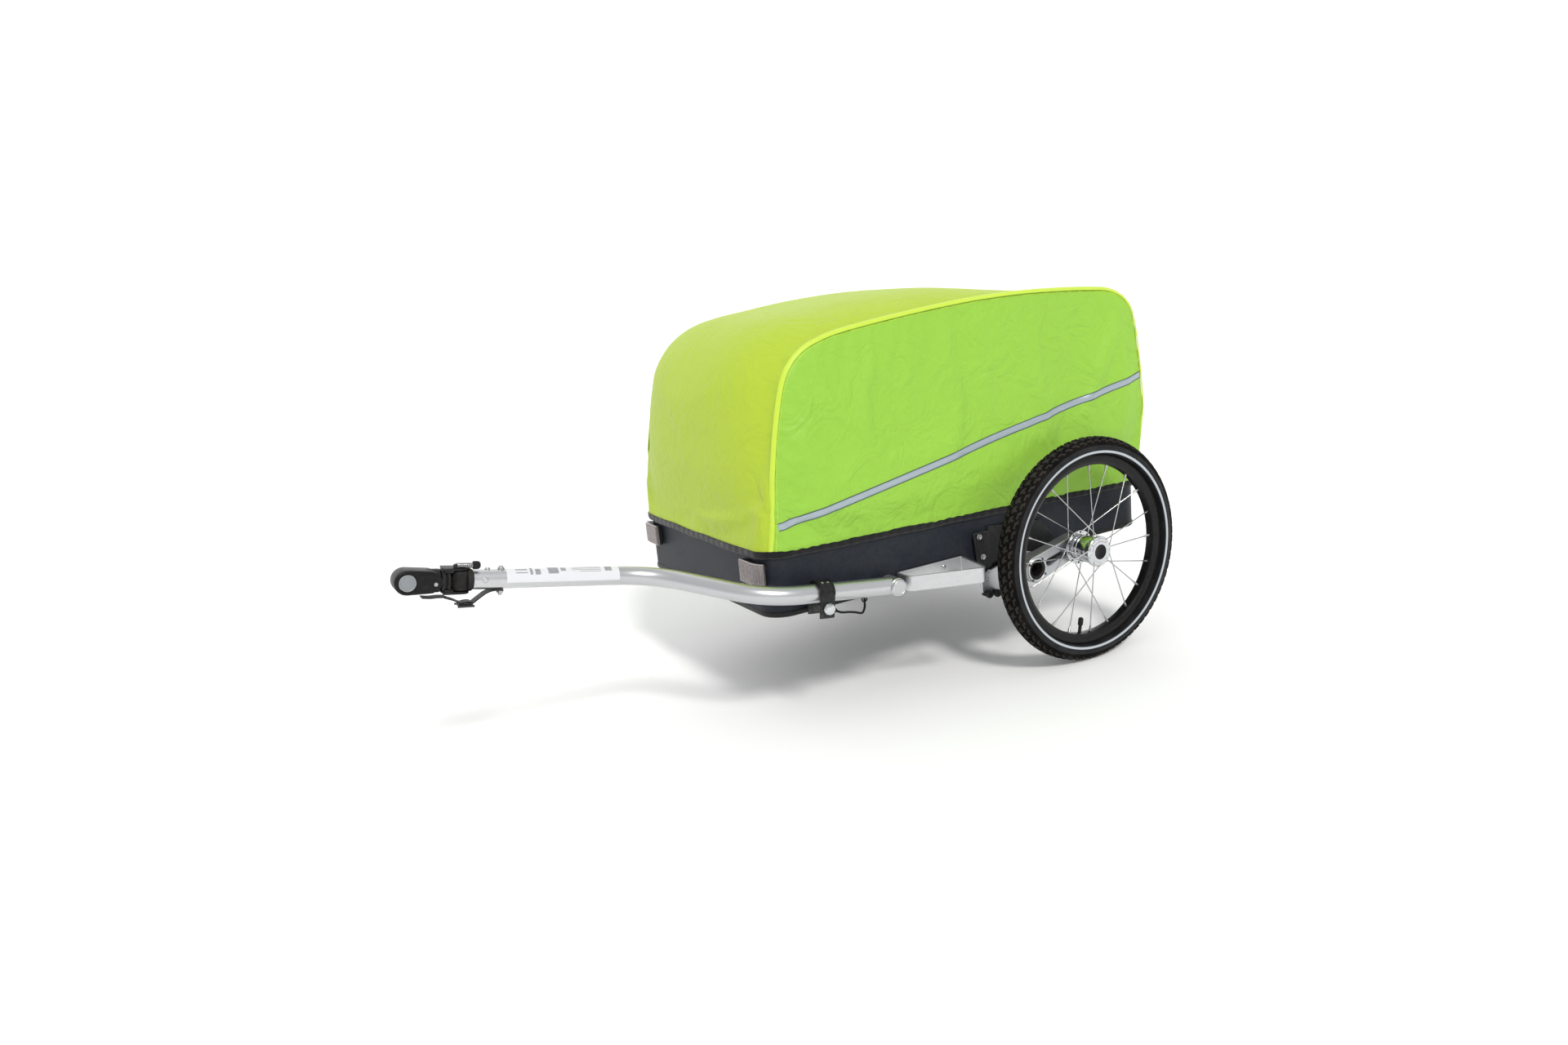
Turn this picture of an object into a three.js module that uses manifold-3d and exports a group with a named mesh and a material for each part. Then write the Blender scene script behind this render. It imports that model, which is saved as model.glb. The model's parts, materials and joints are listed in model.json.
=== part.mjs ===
// Two-wheel bicycle cargo trailer with a lift-off rain cover, in millimetres.
// +X points forward to the hitch, +Y to the trailer's left, +Z up.
// Everything is drawn from the ground point under the wheel axis, and the whole
// model is moved at the end so that its origin is the middle of its base.
import * as THREE from "three";
import { mergeVertices } from "three/addons/utils/BufferGeometryUtils.js";
import Module from "manifold-3d";

const wasm = await Module();
wasm.setup();

// ---------- driving dimensions ----------
const WHEEL_R = 200; // 16 inch wheel
const HALF_TRACK = 325;
const TYRE_R = 22;
const RIM_R = 168;
const RIM_INNER_R = 151;
const SPOKES = 20;
const SPOKE_R = 1.1;
const FLANGE_Y = 23;
const VALVE_TURN = 0.19; // the valves stand a little forward of the lowest point

const TUB_FRONT = 596;
const TUB_REAR = -214;
const TUB_HALF = 246;
const TUB_BOTTOM = 194;
const TUB_TOP = 294;
const WALL = 4;
const CORNER_R = 42;
const RAIL = 12;

const HEM_FRONT = 299;
const HEM_REAR = 277;
const COVER_HALF = 250;
const COVER_LEAN = 12 / 350;
const COVER_WALL = 3;
const BOW_INSET = 24;
const BOW_R = 6;
const BOW_Y = 226;
const BOW_FOOT = 318;

const TUBE_R = 15;
const TUBE_WALL = 2.5;
const TUBE_Y = 281;
const BOSS = new THREE.Vector3(388, TUBE_Y, 211.8);
const HITCH_Y = 110;
const TUBE_END = new THREE.Vector3(1017, HITCH_Y, 328.5);
const BEND_END = new THREE.Vector3(738, HITCH_Y, 274);
const HITCH_TILT = Math.atan2(TUBE_END.z - BEND_END.z, TUBE_END.x - BEND_END.x);
const YAW_X = 18;
const BOLT_BACK = 42; // the knuckle's bolt, behind the end of the tube

const PIVOT_X = 91;
const PIVOT_Z = 176;
const ARM_IN = 268;
const ARM_OUT = 292;
const SADDLE_X = 524;
const PIN_X = 527;
const PIN_Z = 210;
const TUBE_SLOPE = 0.1386; // rise of the drawbar beside the tub, per millimetre

const GAP = 0.3; // left between pieces that touch
const ROUND = 32; // sides of a tyre and a rim

// ---------- finishes ----------
function finish(color, roughness, metalness) {
  return new THREE.MeshStandardMaterial({ color, roughness, metalness });
}
const aluminium = finish(0xc9ccd0, 0.35, 0.9);
const polished = finish(0xd8dadc, 0.2, 1);
const steel = finish(0xa9abae, 0.3, 1);
const tubPlastic = finish(0x30353b, 0.55, 0);
const blackPlastic = finish(0x141416, 0.5, 0);
const blackMetal = finish(0x18181a, 0.4, 0.4);
const rubber = finish(0x1b1a19, 0.85, 0);
const coverCloth = finish(0x9fd645, 0.7, 0);
const webbing = finish(0x101012, 0.9, 0);
const clearLens = finish(0xe4e4e0, 0.15, 0);
const redLens = finish(0xa01010, 0.2, 0);
const greyDisc = finish(0x8d9093, 0.5, 0);

// ---------- helpers ----------
const model = new THREE.Group();

function part(name, geometry, material, parent = model, at = [0, 0, 0]) {
  const mesh = new THREE.Mesh(geometry, material);
  mesh.name = name;
  mesh.position.set(...at);
  parent.add(mesh);
  return mesh;
}

function box(x, y, z) {
  return new THREE.BoxGeometry(x, y, z);
}

// A cylinder whose axis is Y.
function roundBar(radius, length, sides = 24) {
  return new THREE.CylinderGeometry(radius, radius, length, sides);
}

// A ring turned about Y from a closed (radius, y) section.
function turned(section, sides) {
  const points = section.map(([r, y]) => new THREE.Vector2(r, y));
  if (THREE.ShapeUtils.isClockWise(points)) points.reverse();
  points.push(points[0].clone());
  return new THREE.LatheGeometry(points, sides);
}

function outline(points) {
  const corners = points.map(([x, y]) => new THREE.Vector2(x, y));
  if (THREE.ShapeUtils.isClockWise(corners)) corners.reverse();
  return new THREE.Shape(corners);
}

function circle(x, y, radius) {
  return new THREE.Path().absarc(x, y, radius, 0, 2 * Math.PI);
}

// The outline of a strap pulled tight round two circles.
function twoCircles(x1, y1, r1, x2, y2, r2) {
  const along = Math.atan2(y2 - y1, x2 - x1);
  const spread = Math.acos((r1 - r2) / Math.hypot(x2 - x1, y2 - y1));
  const shape = new THREE.Shape();
  shape.absarc(x1, y1, r1, along + spread, along - spread + 2 * Math.PI);
  shape.absarc(x2, y2, r2, along - spread, along + spread);
  return shape;
}

function roundedRectangle(x1, y1, x2, y2, r) {
  const shape = new THREE.Shape();
  shape.absarc(x2 - r, y2 - r, r, 0, Math.PI / 2);
  shape.absarc(x1 + r, y2 - r, r, Math.PI / 2, Math.PI);
  shape.absarc(x1 + r, y1 + r, r, Math.PI, 1.5 * Math.PI);
  shape.absarc(x2 - r, y1 + r, r, 1.5 * Math.PI, 2 * Math.PI);
  return shape;
}

// Turns a shape drawn in X and Y so that it lies in Y and Z, its depth along X.
function facingBack(geometry) {
  return geometry.rotateX(Math.PI / 2).rotateZ(Math.PI / 2);
}

function extruded(shape, depth, curveSegments = 8) {
  return new THREE.ExtrudeGeometry(shape, { depth, bevelEnabled: false, curveSegments });
}

// A plate drawn in X and Z, from y = low to y = high.
function plate(shape, low, high, curveSegments = 8) {
  const geometry = extruded(shape, high - low, curveSegments);
  geometry.rotateX(Math.PI / 2);
  geometry.translate(0, high, 0);
  return geometry;
}

// The same plate on the left (side = 1) or the right (side = -1).
function sidePlate(shape, inner, outer, side, curveSegments = 8) {
  const low = side > 0 ? inner : -outer;
  return plate(shape, low, low + outer - inner, curveSegments);
}

// A round bar or tube along a path, with an even number of sides.
function tubeAlong(path, radius, steps, sides, wall = 0) {
  const section = new THREE.Shape().absarc(0, 0, radius, 0, 2 * Math.PI);
  if (wall) section.holes.push(circle(0, 0, radius - wall));
  const settings = { steps, extrudePath: path, bevelEnabled: false, curveSegments: sides / 2 };
  return new THREE.ExtrudeGeometry(section, settings);
}

// Straight runs through the points, with every inner corner rounded off.
function bentPath(points, reach) {
  const path = new THREE.CurvePath();
  let start = points[0];
  for (let i = 1; i < points.length - 1; i += 1) {
    const corner = points[i];
    const before = corner.clone().add(points[i - 1].clone().sub(corner).setLength(reach));
    const after = corner.clone().add(points[i + 1].clone().sub(corner).setLength(reach));
    path.add(new THREE.LineCurve3(start, before));
    path.add(new THREE.QuadraticBezierCurve3(before, corner, after));
    start = after;
  }
  path.add(new THREE.LineCurve3(start, points[points.length - 1]));
  return path;
}

function solid(geometry) {
  const bare = geometry.index ? geometry.toNonIndexed() : geometry.clone();
  bare.deleteAttribute("normal");
  bare.deleteAttribute("uv");
  const merged = mergeVertices(bare);
  return new wasm.Manifold(
    new wasm.Mesh({
      numProp: 3,
      vertProperties: new Float32Array(merged.attributes.position.array),
      triVerts: new Uint32Array(merged.index.array),
    }),
  );
}

function surface(shape) {
  const mesh = shape.getMesh();
  const geometry = new THREE.BufferGeometry();
  geometry.setAttribute("position", new THREE.BufferAttribute(mesh.vertProperties, 3));
  geometry.setIndex(new THREE.BufferAttribute(mesh.triVerts, 1));
  geometry.computeVertexNormals();
  return geometry;
}

function cut(geometry, ...tools) {
  return surface(tools.reduce((body, tool) => body.subtract(solid(tool)), solid(geometry)));
}

function joined(geometry, ...others) {
  return surface(others.reduce((body, other) => body.add(solid(other)), solid(geometry)));
}

function moved(geometry, x, y, z) {
  geometry.translate(x, y, z);
  return geometry;
}

const sideName = (side) => (side > 0 ? "left" : "right");

// ---------- tub: floor, four walls, four corner posts and the rail on top ----------
function tub() {
  const height = TUB_TOP - TUB_BOTTOM;
  const middleZ = (TUB_TOP + TUB_BOTTOM) / 2;
  const middleX = (TUB_FRONT + TUB_REAR) / 2;
  const crossWidth = 2 * (TUB_HALF - CORNER_R - GAP);
  const sideLength = TUB_FRONT - TUB_REAR - 2 * (CORNER_R + GAP);
  const inside = WALL + GAP;
  const floor = roundedRectangle(
    TUB_REAR + inside,
    -TUB_HALF + inside,
    TUB_FRONT - inside,
    TUB_HALF - inside,
    CORNER_R - inside,
  );
  part("tub_floor", extruded(floor, 6), tubPlastic, model, [0, 0, TUB_BOTTOM + 1]);
  const across = box(WALL, crossWidth, height);
  part("tub_front_wall", across, tubPlastic, model, [TUB_FRONT - WALL / 2, 0, middleZ]);
  part("tub_rear_wall", across, tubPlastic, model, [TUB_REAR + WALL / 2, 0, middleZ]);
  for (const side of [1, -1]) {
    const y = side * (TUB_HALF - WALL / 2);
    const wall = box(sideLength, WALL, height);
    part(`tub_${sideName(side)}_wall`, wall, tubPlastic, model, [middleX, y, middleZ]);
  }
  const post = new THREE.Shape();
  post.absarc(0, 0, CORNER_R, 0, Math.PI / 2);
  post.absarc(0, 0, CORNER_R - WALL, Math.PI / 2, 0, true);
  const corners = [
    ["front_left", 1, 1, 0],
    ["rear_left", -1, 1, 1],
    ["rear_right", -1, -1, 2],
    ["front_right", 1, -1, 3],
  ];
  for (const [name, forward, side, quarter] of corners) {
    const x = forward > 0 ? TUB_FRONT - CORNER_R : TUB_REAR + CORNER_R;
    const y = side * (TUB_HALF - CORNER_R);
    const mesh = part(`corner_post_${name}`, extruded(post, height), tubPlastic);
    mesh.position.set(x, y, TUB_BOTTOM);
    mesh.rotation.z = (quarter * Math.PI) / 2;
  }
  const rail = roundedRectangle(TUB_REAR, -TUB_HALF, TUB_FRONT, TUB_HALF, CORNER_R);
  const railHole = roundedRectangle(
    TUB_REAR + RAIL,
    -TUB_HALF + RAIL,
    TUB_FRONT - RAIL,
    TUB_HALF - RAIL,
    CORNER_R - RAIL,
  );
  rail.holes.push(railHole);
  const ring = moved(extruded(rail, RAIL, 4), 0, 0, TUB_TOP + GAP);
  const sockets = [];
  for (const foot of bowFeet()) {
    for (const side of [1, -1]) {
      sockets.push(moved(box(22, 18, 52), foot.x, side * BOW_Y, BOW_FOOT - GAP - 26));
    }
  }
  part("top_rail", joined(ring, ...sockets), aluminium);
}

// ---------- under the floor: two rails, the axle beam and the front foot ----------
const BEAM_TOP = 180;

function underframe() {
  const rails = [1, -1].map((side) => moved(box(760, 30, 13.4), 180, side * 150, 187));
  const beam = moved(box(44, 2 * TUB_HALF, 25), PIVOT_X, 0, BEAM_TOP - 11.5);
  const foot = moved(box(60, 90, 16), TUB_FRONT - 26, -110, TUB_BOTTOM - 8.3);
  part("underframe", joined(beam, ...rails, foot), aluminium);
}

// ---------- lights: clear front lenses round the corners, red ones behind ----------
function reflectors() {
  for (const side of [1, -1]) {
    const lens = new THREE.Shape();
    const turn = 0.8;
    const start = side > 0 ? 0 : -turn;
    const end = side > 0 ? turn : 0;
    const nearY = -side * 34;
    const outer = CORNER_R + 15;
    const inner = CORNER_R + 0.5;
    if (side > 0) {
      lens.moveTo(inner, nearY);
      lens.lineTo(outer, nearY);
      lens.absarc(0, 0, outer, start, end);
      lens.absarc(0, 0, inner, end, start, true);
    } else {
      lens.moveTo(outer, nearY);
      lens.lineTo(inner, nearY);
      lens.absarc(0, 0, inner, end, start, true);
      lens.absarc(0, 0, outer, start, end);
    }
    const x = TUB_FRONT - CORNER_R;
    const y = side * (TUB_HALF - CORNER_R);
    const name = `front_reflector_${sideName(side)}`;
    part(name, extruded(lens, 38), clearLens, model, [x, y, 246]);
    const rear = facingBack(extruded(roundedRectangle(-30, -17, 30, 17, 8), 7, 3));
    const place = [TUB_REAR - GAP - 7, side * 165, 232];
    part(`rear_reflector_${sideName(side)}`, rear, redLens, model, place);
  }
}

// ---------- cover and the bows that hold it up ----------
// Side profile of the cover, from the front hem over the top to the rear hem.
const coverLine = new THREE.SplineCurve(
  [
    [602.5, HEM_FRONT],
    [590, 342],
    [581, 385],
    [559, 493],
    [541, 553],
    [521, 590],
    [480, 617],
    [420, 631],
    [310, 643],
    [195, 652],
    [75, 655],
    [-48, 651],
    [-136, 645],
    [-185, 628],
    [-213, 590],
    [-223, 510],
    [-228, 400],
    [-224, HEM_REAR],
  ].map(([x, z]) => new THREE.Vector2(x, z)),
);

// A point of the profile moved inward, with the direction it faces.
function profilePoint(share, inset) {
  const along = coverLine.getTangentAt(share);
  const out = new THREE.Vector2(along.y, -along.x);
  return { point: coverLine.getPointAt(share).addScaledVector(out, -inset), out };
}

// How far the cloth stands proud of its side seams: most over the front half of the
// top, little at the back, and nothing at the hems.
function crown(share, t) {
  const fade = Math.sin(Math.PI * Math.min(1, share * 1.35)) ** 0.7;
  const proud = share < 1 / 1.35 ? 24 * fade + 5 * Math.min(1, share * 6) : 5;
  return proud * Math.min(1, (1 - share) * 8) * (1 - Math.abs(t) ** 2.6);
}

function coverSolid(inset) {
  const stations = 28;
  const across = 8;
  const positions = [];
  const index = [];
  const rim = [];
  for (let i = 0; i <= stations; i += 1) {
    const { point, out } = profilePoint(i / stations, inset);
    if (inset > 0 && (i === 0 || i === stations)) point.y -= 6;
    const half = COVER_HALF - COVER_LEAN * Math.max(0, point.y - HEM_FRONT) - inset;
    rim.push(point);
    for (let j = 0; j <= across; j += 1) {
      const t = (2 * j) / across - 1;
      const proud = crown(i / stations, t);
      positions.push(point.x + out.x * proud, half * t, point.y + out.y * proud);
    }
  }
  const at = (i, j) => i * (across + 1) + j;
  for (let i = 0; i < stations; i += 1) {
    for (let j = 0; j < across; j += 1) {
      index.push(at(i, j), at(i, j + 1), at(i + 1, j));
      index.push(at(i, j + 1), at(i + 1, j + 1), at(i + 1, j));
    }
  }
  for (const [a, b, c] of THREE.ShapeUtils.triangulateShape(rim, [])) {
    index.push(at(a, 0), at(b, 0), at(c, 0));
    index.push(at(a, across), at(c, across), at(b, across));
  }
  for (let j = 0; j < across; j += 1) {
    index.push(at(0, j), at(stations, j), at(0, j + 1));
    index.push(at(0, j + 1), at(stations, j), at(stations, j + 1));
  }
  const geometry = new THREE.BufferGeometry();
  geometry.setAttribute("position", new THREE.Float32BufferAttribute(positions, 3));
  geometry.setIndex(index);
  return geometry;
}

function cover() {
  part("rain_cover", cut(coverSolid(0), coverSolid(COVER_WALL)), coverCloth);
}

// The line of a bow: up the front, over the top and down the back, foot to foot.
function bowLine() {
  const line = [];
  for (let i = 0; i <= 40; i += 1) {
    const { point } = profilePoint(i / 40, BOW_INSET);
    if (point.y > BOW_FOOT + 50) line.push(point);
  }
  const front = TUB_FRONT - CORNER_R + 6;
  const rear = TUB_REAR + CORNER_R - 10;
  line.unshift(new THREE.Vector2(front, BOW_FOOT), new THREE.Vector2(front, BOW_FOOT + 16));
  line.push(new THREE.Vector2(rear, BOW_FOOT + 16), new THREE.Vector2(rear, BOW_FOOT));
  return line;
}

function bowFeet() {
  const line = bowLine();
  return [line[0], line[line.length - 1]];
}

// One bow on each side follows the cover's profile; two bars tie the bows together.
function bows() {
  const line = bowLine();
  const sides = [1, -1].map((side) => {
    const points = line.map((p) => new THREE.Vector3(p.x, side * BOW_Y, p.y));
    return tubeAlong(new THREE.CatmullRomCurve3(points), BOW_R, 30, 6);
  });
  const bars = [0.262, 0.742].map((share) => {
    const { point } = profilePoint(share, BOW_INSET);
    return moved(roundBar(5, 2 * BOW_Y, 8), point.x, 0, point.y);
  });
  part("cover_frame", joined(sides[0], sides[1], ...bars), aluminium);
}

// ---------- side plates, pivots and guards ----------
function sideFrame(side) {
  const name = sideName(side);
  const base = outline([
    [160, 262],
    [40, 250],
    [10, 214],
    [50, 150],
    [160, 150],
    [176, 200],
  ]);
  part(`side_plate_${name}`, sidePlate(base, 246.5, 252, side), aluminium);
  const bracket = outline([
    [198, 256],
    [166, 256],
    [160, 184],
    [190, 184],
  ]);
  bracket.holes.push(circle(181, 248, 3));
  bracket.holes.push(circle(178, 212, 3));
  part(`guard_bracket_${name}`, sidePlate(bracket, 252.3, 257.5, side, 4), blackMetal);
  const cheek = new THREE.Shape();
  cheek.moveTo(192, 182);
  cheek.lineTo(118, 200);
  cheek.absarc(PIVOT_X, PIVOT_Z, 28, 0.9, Math.PI + 1.1);
  cheek.lineTo(150, 142);
  cheek.lineTo(192, 150);
  cheek.holes.push(circle(PIVOT_X, PIVOT_Z, 12.5));
  const knobs = [[184, 148], [166, 146]].map(([x, z]) => moved(roundBar(6, 20, 10), x, side * 268, z));
  const plateWithKnobs = joined(sidePlate(cheek, 258, 264, side, 6), ...knobs);
  part(`pivot_cheek_${name}`, plateWithKnobs, aluminium);
  const sleeve = turned([[17.2, -14], [17.2, 14], [12.5, 14], [12.5, -14]], 20);
  part(`pivot_sleeve_${name}`, sleeve, rubber, model, [PIVOT_X, side * 278.5, PIVOT_Z]);
}

// A bent flat bar that keeps things out of the gap between tub and wheel.
function wheelGuard(side) {
  const bar = 4.5;
  const loop = (inset) => [
    [360 - inset, 246.8 + inset],
    [219 + inset, 246.8 + inset],
    [233 + inset, 328 - inset],
    [248, 334 - inset],
    [354 - inset, 288 - inset],
    [360 - inset, 281 - inset],
  ];
  const shape = outline(loop(0).map(([x, y]) => [x, side * y]));
  shape.holes.push(outline(loop(bar).map(([x, y]) => [x, side * y])));
  part(`wheel_guard_${sideName(side)}`, extruded(shape, 26), aluminium, model, [0, 0, 195]);
}

// ---------- trailing arm with its axle and release button ----------
function trailingArm(side) {
  const name = sideName(side);
  const arm = twoCircles(PIVOT_X, PIVOT_Z, 24, 0, WHEEL_R, 20);
  arm.holes.push(circle(PIVOT_X, PIVOT_Z, 17.6));
  arm.holes.push(circle(0, WHEEL_R, 6.4));
  const slot = twoCircles(60, 184, 5, 30, 192, 5);
  arm.holes.push(slot);
  part(`trailing_arm_${name}`, sidePlate(arm, ARM_IN, ARM_OUT, side, 8), aluminium);
  const spindle = joined(roundBar(6, 74, 16), moved(roundBar(10, 3, 16), 0, -side * 38, 0));
  const y = side * (ARM_IN + 36);
  part(`axle_spindle_${name}`, spindle, steel, model, [0, y, WHEEL_R]);
  const button = roundBar(12.6, 8, 24);
  part(`release_button_${name}`, button, blackPlastic, model, [0, side * 350, WHEEL_R]);
}

// ---------- wheel, drawn about its own centre with its outer face to +Y ----------
function tyreSection() {
  const points = [];
  for (let i = 0; i <= 6; i += 1) {
    const turn = ((i / 6) * 2 - 1) * 1.9;
    points.push([WHEEL_R - TYRE_R + TYRE_R * Math.cos(turn), TYRE_R * Math.sin(turn)]);
  }
  points.push([168.6, 7.6], [161, 7.4], [161, 4.6], [171, 4.6], [174, 12]);
  for (let i = 0; i <= 2; i += 1) {
    const turn = (1 - i) * 1.5;
    points.push([WHEEL_R - TYRE_R + 18 * Math.cos(turn), 18 * Math.sin(turn)]);
  }
  points.push([174, -12], [171, -4.6], [161, -4.6], [161, -7.4], [168.6, -7.6]);
  return points;
}

function wheel(side) {
  const name = sideName(side);
  const group = new THREE.Group();
  group.position.set(0, side * HALF_TRACK, WHEEL_R);
  group.rotation.set(0, -side * VALVE_TURN, side > 0 ? 0 : Math.PI, "ZYX");
  model.add(group);
  part(`tyre_${name}`, turned(tyreSection(), ROUND), rubber, group);
  const rimSection = [
    [RIM_INNER_R, -7],
    [RIM_INNER_R, 7],
    [157, 12],
    [RIM_R, 12],
    [RIM_R, 9.8],
    [160, 8.2],
    [160, -8.2],
    [RIM_R, -9.8],
    [RIM_R, -12],
    [157, -12],
  ];
  const valveHole = moved(uprightBar(5, 30), 0, 0, -155);
  part(`rim_${name}`, cut(turned(rimSection, ROUND), valveHole), blackMetal, group);
  const hub = [
    [13.3, -27],
    [17, -27],
    [17, -25],
    [30.5, -25],
    [30.5, -21],
    [24, -19],
    [24, 19],
    [27, 21],
    [27, 25],
    [17, 25],
    [17, 29],
    [13.3, 29],
    [13.3, 9],
    [10, 8],
    [10, -8],
    [13.3, -9],
  ];
  part(`hub_${name}`, turned(hub, 20), polished, group);
  const bearings = [
    [13, -16.5],
    [13, -9.5],
    [9.4, -9.5],
    [9.4, 9.5],
    [13, 9.5],
    [13, 16.5],
    [6.4, 16.5],
    [6.4, -16.5],
  ];
  part(`bearing_pair_${name}`, turned(bearings, 14), steel, group);
  part(`spokes_${name}`, surface(spokeSet().subtract(solid(valveHole))), steel, group);
  const stem = joined(roundBar(3, 40, 12), moved(roundBar(4.4, 12, 12), 0, 17, 0));
  stem.rotateX(Math.PI / 2);
  part(`valve_${name}`, stem, blackPlastic, group, [0, 0, -143]);
}

// Crossed spokes from both flanges, held together by the band of nipples in the rim.
function spokeSet() {
  const bandR = RIM_INNER_R - GAP;
  let set = solid(turned([[bandR - 2, -4], [bandR, -4], [bandR, 4], [bandR - 2, 4]], ROUND));
  const section = outline([[SPOKE_R, 0], [-SPOKE_R, SPOKE_R], [-SPOKE_R, -SPOKE_R]]);
  for (let i = 0; i < SPOKES; i += 1) {
    const outer = i % 2 === 0;
    const rimTurn = ((i + 0.5) / SPOKES) * 2 * Math.PI;
    const cross = (Math.floor(i / 2) % 2 === 0 ? 1 : -1) * 0.62;
    const holeR = outer ? 27.8 : 31.2;
    const y = outer ? FLANGE_Y : -FLANGE_Y;
    const from = new THREE.Vector3(
      Math.sin(rimTurn + cross) * holeR,
      y,
      Math.cos(rimTurn + cross) * holeR,
    );
    const to = new THREE.Vector3(
      Math.sin(rimTurn) * (bandR - 1),
      outer ? 2 : -2,
      Math.cos(rimTurn) * (bandR - 1),
    );
    const settings = { steps: 1, bevelEnabled: false };
    settings.extrudePath = new THREE.LineCurve3(from, to);
    set = set.add(solid(new THREE.ExtrudeGeometry(section, settings)));
  }
  return set;
}

// ---------- drawbar ----------
function uprightBar(radius, length) {
  return roundBar(radius, length, 12).rotateX(Math.PI / 2);
}

// From the hitch's own frame, with X along the tube's front end, to the model's.
function fromHitch(geometry) {
  return moved(geometry.rotateY(-HITCH_TILT), ...TUBE_END.toArray());
}

function drawbar() {
  const corners = [
    BOSS.clone().add(new THREE.Vector3(8, 0, 1.1)),
    new THREE.Vector3(618, TUBE_Y, 243.5),
    BEND_END,
    TUBE_END,
  ];
  const tube = tubeAlong(bentPath(corners, 62), TUBE_R, 28, 10, TUBE_WALL);
  const boss = moved(roundBar(TUBE_R, 33, 20), BOSS.x, BOSS.y - 1.5, BOSS.z);
  const bore = moved(roundBar(5.3, 60, 16), ...BOSS.toArray());
  const boltHole = fromHitch(moved(uprightBar(3.3, 60), -BOLT_BACK, 0, 0));
  part("drawbar_tube", cut(joined(tube, boss), bore, boltHole), aluminium);
  const bolt = joined(roundBar(5, 48, 16), moved(roundBar(12, 3, 24), 0, 25.5, 0));
  part("pivot_bolt", bolt, polished, model, [BOSS.x, TUBE_Y - 8.5, BOSS.z]);
  const block = cut(box(42, 14.6, 40), roundBar(5.3, 30, 16));
  part("pivot_block", block, blackMetal, model, [BOSS.x, TUB_HALF + 7.8, BOSS.z]);
}

// The saddle hooks over the tube; the pin under the tube locks the drawbar in it.
function saddle() {
  const tubeZ = BOSS.z + (SADDLE_X - BOSS.x) * TUBE_SLOPE;
  const low = -38;
  const width = 26;
  const reach = TUBE_R + 1.2;
  const skin = 4;
  const hook = new THREE.Shape();
  hook.moveTo(-reach - skin, low);
  hook.lineTo(-reach, low);
  hook.absarc(0, 0, reach, Math.PI, 0, true);
  hook.lineTo(reach, low);
  hook.lineTo(reach + skin, low);
  hook.absarc(0, 0, reach + skin, 0, Math.PI);
  const band = moved(facingBack(extruded(hook, width, 8)), -width / 2, 0, 0);
  band.rotateY(-Math.atan(TUBE_SLOPE));
  band.translate(SADDLE_X, TUBE_Y, tubeZ);
  const slot = moved(box(11, 80, 40), PIN_X, TUBE_Y, PIN_Z - 14);
  const gap = TUBE_Y - reach - skin - GAP - TUB_HALF + 1;
  const foot = moved(box(width, gap, 26), SADDLE_X, TUB_HALF + GAP + gap / 2, tubeZ + 4);
  part("drawbar_saddle", cut(joined(band, foot), slot), blackMetal);
  const pin = joined(roundBar(4.5, 44, 16), moved(roundBar(9, 8, 20), 0, 26, 0));
  part("locking_pin", pin, polished, model, [PIN_X, TUBE_Y - 0.5, PIN_Z]);
}

// ---------- hitch, drawn along its own X from the end of the drawbar ----------
function hitch() {
  const group = new THREE.Group();
  group.position.copy(TUBE_END);
  group.rotation.y = -HITCH_TILT;
  model.add(group);
  const along = (geometry) => geometry.rotateZ(-Math.PI / 2);
  const spigotR = TUBE_R - TUBE_WALL - 1.1;
  const profile = [
    [0, -58],
    [spigotR, -58],
    [spigotR, 0.5],
    [14.5, 0.5],
    [16.5, 6],
    [16.5, 20],
    [14, 27],
    [8, 31],
    [0, 32],
  ];
  const pinHole = moved(uprightBar(4.3, 80), YAW_X, 0, 0);
  const boltHole = moved(uprightBar(3.3, 60), -BOLT_BACK, 0, 0);
  const knuckle = along(turned(profile, 20));
  part("hitch_knuckle", cut(knuckle, pinHole, boltHole), rubber, group);
  const screw = joined(uprightBar(3, 37), moved(uprightBar(5.2, 4), 0, 0, 18));
  const bolt = joined(screw, moved(uprightBar(5.4, 6), 0, 0, -19));
  part("knuckle_bolt", bolt, steel, group, [-BOLT_BACK, 0, 0]);
  const yawPin = joined(uprightBar(4, 48), moved(uprightBar(7, 4), 0, 0, 25.2));
  part("yaw_pin", yawPin, steel, group, [YAW_X, 0, 0]);
  const ears = [1, -1].map((up) => moved(box(42, 26, 5), 25, 0, up * 20.2));
  const collar = moved(box(10, 30, 45.4), 41, 0, 0);
  const spigot = along(roundBar(8, 30, 16)).translate(60, 0, 0);
  part("hitch_yoke", cut(joined(collar, ...ears, spigot), pinHole), blackPlastic, group);
  const head = plate(twoCircles(64, 0, 16.5, 95, 0, 18.2), -17, 17, 12);
  const body = joined(head, moved(box(22, 34, 33), 58, 0, 0));
  const bore = along(roundBar(8.4, 32, 16)).translate(60, 0, 0);
  const axle = roundBar(12.5, 60, 24).translate(95, 0, 0);
  part("hitch_head", cut(body, bore, axle), blackPlastic, group);
  part("lock_button", roundBar(12.1, 12, 28), greyDisc, group, [95, 13, 0]);
}

// ---------- soft pieces ----------
// The strap that keeps the trailer on the bicycle if the hitch lets go.
const strapRoute = [
  [1061, 313.5],
  [1050, 307],
  [1038, 298],
  [1022, 295],
  [1008, 303],
  [998, 307],
  [988, 306],
];

function safetyStrap() {
  const line = strapRoute.map(([x, z]) => new THREE.Vector2(x, z));
  const under = strapRoute.map(([x, z]) => new THREE.Vector2(x, z - 2.4)).reverse();
  const strap = plate(new THREE.Shape([...line, ...under]), -9, 9);
  part("safety_strap", strap, webbing, model, [0, HITCH_Y, 0]);
  part("strap_buckle", box(20, 25, 3), steel, model, [1028, HITCH_Y, 290.6]);
}

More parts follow.
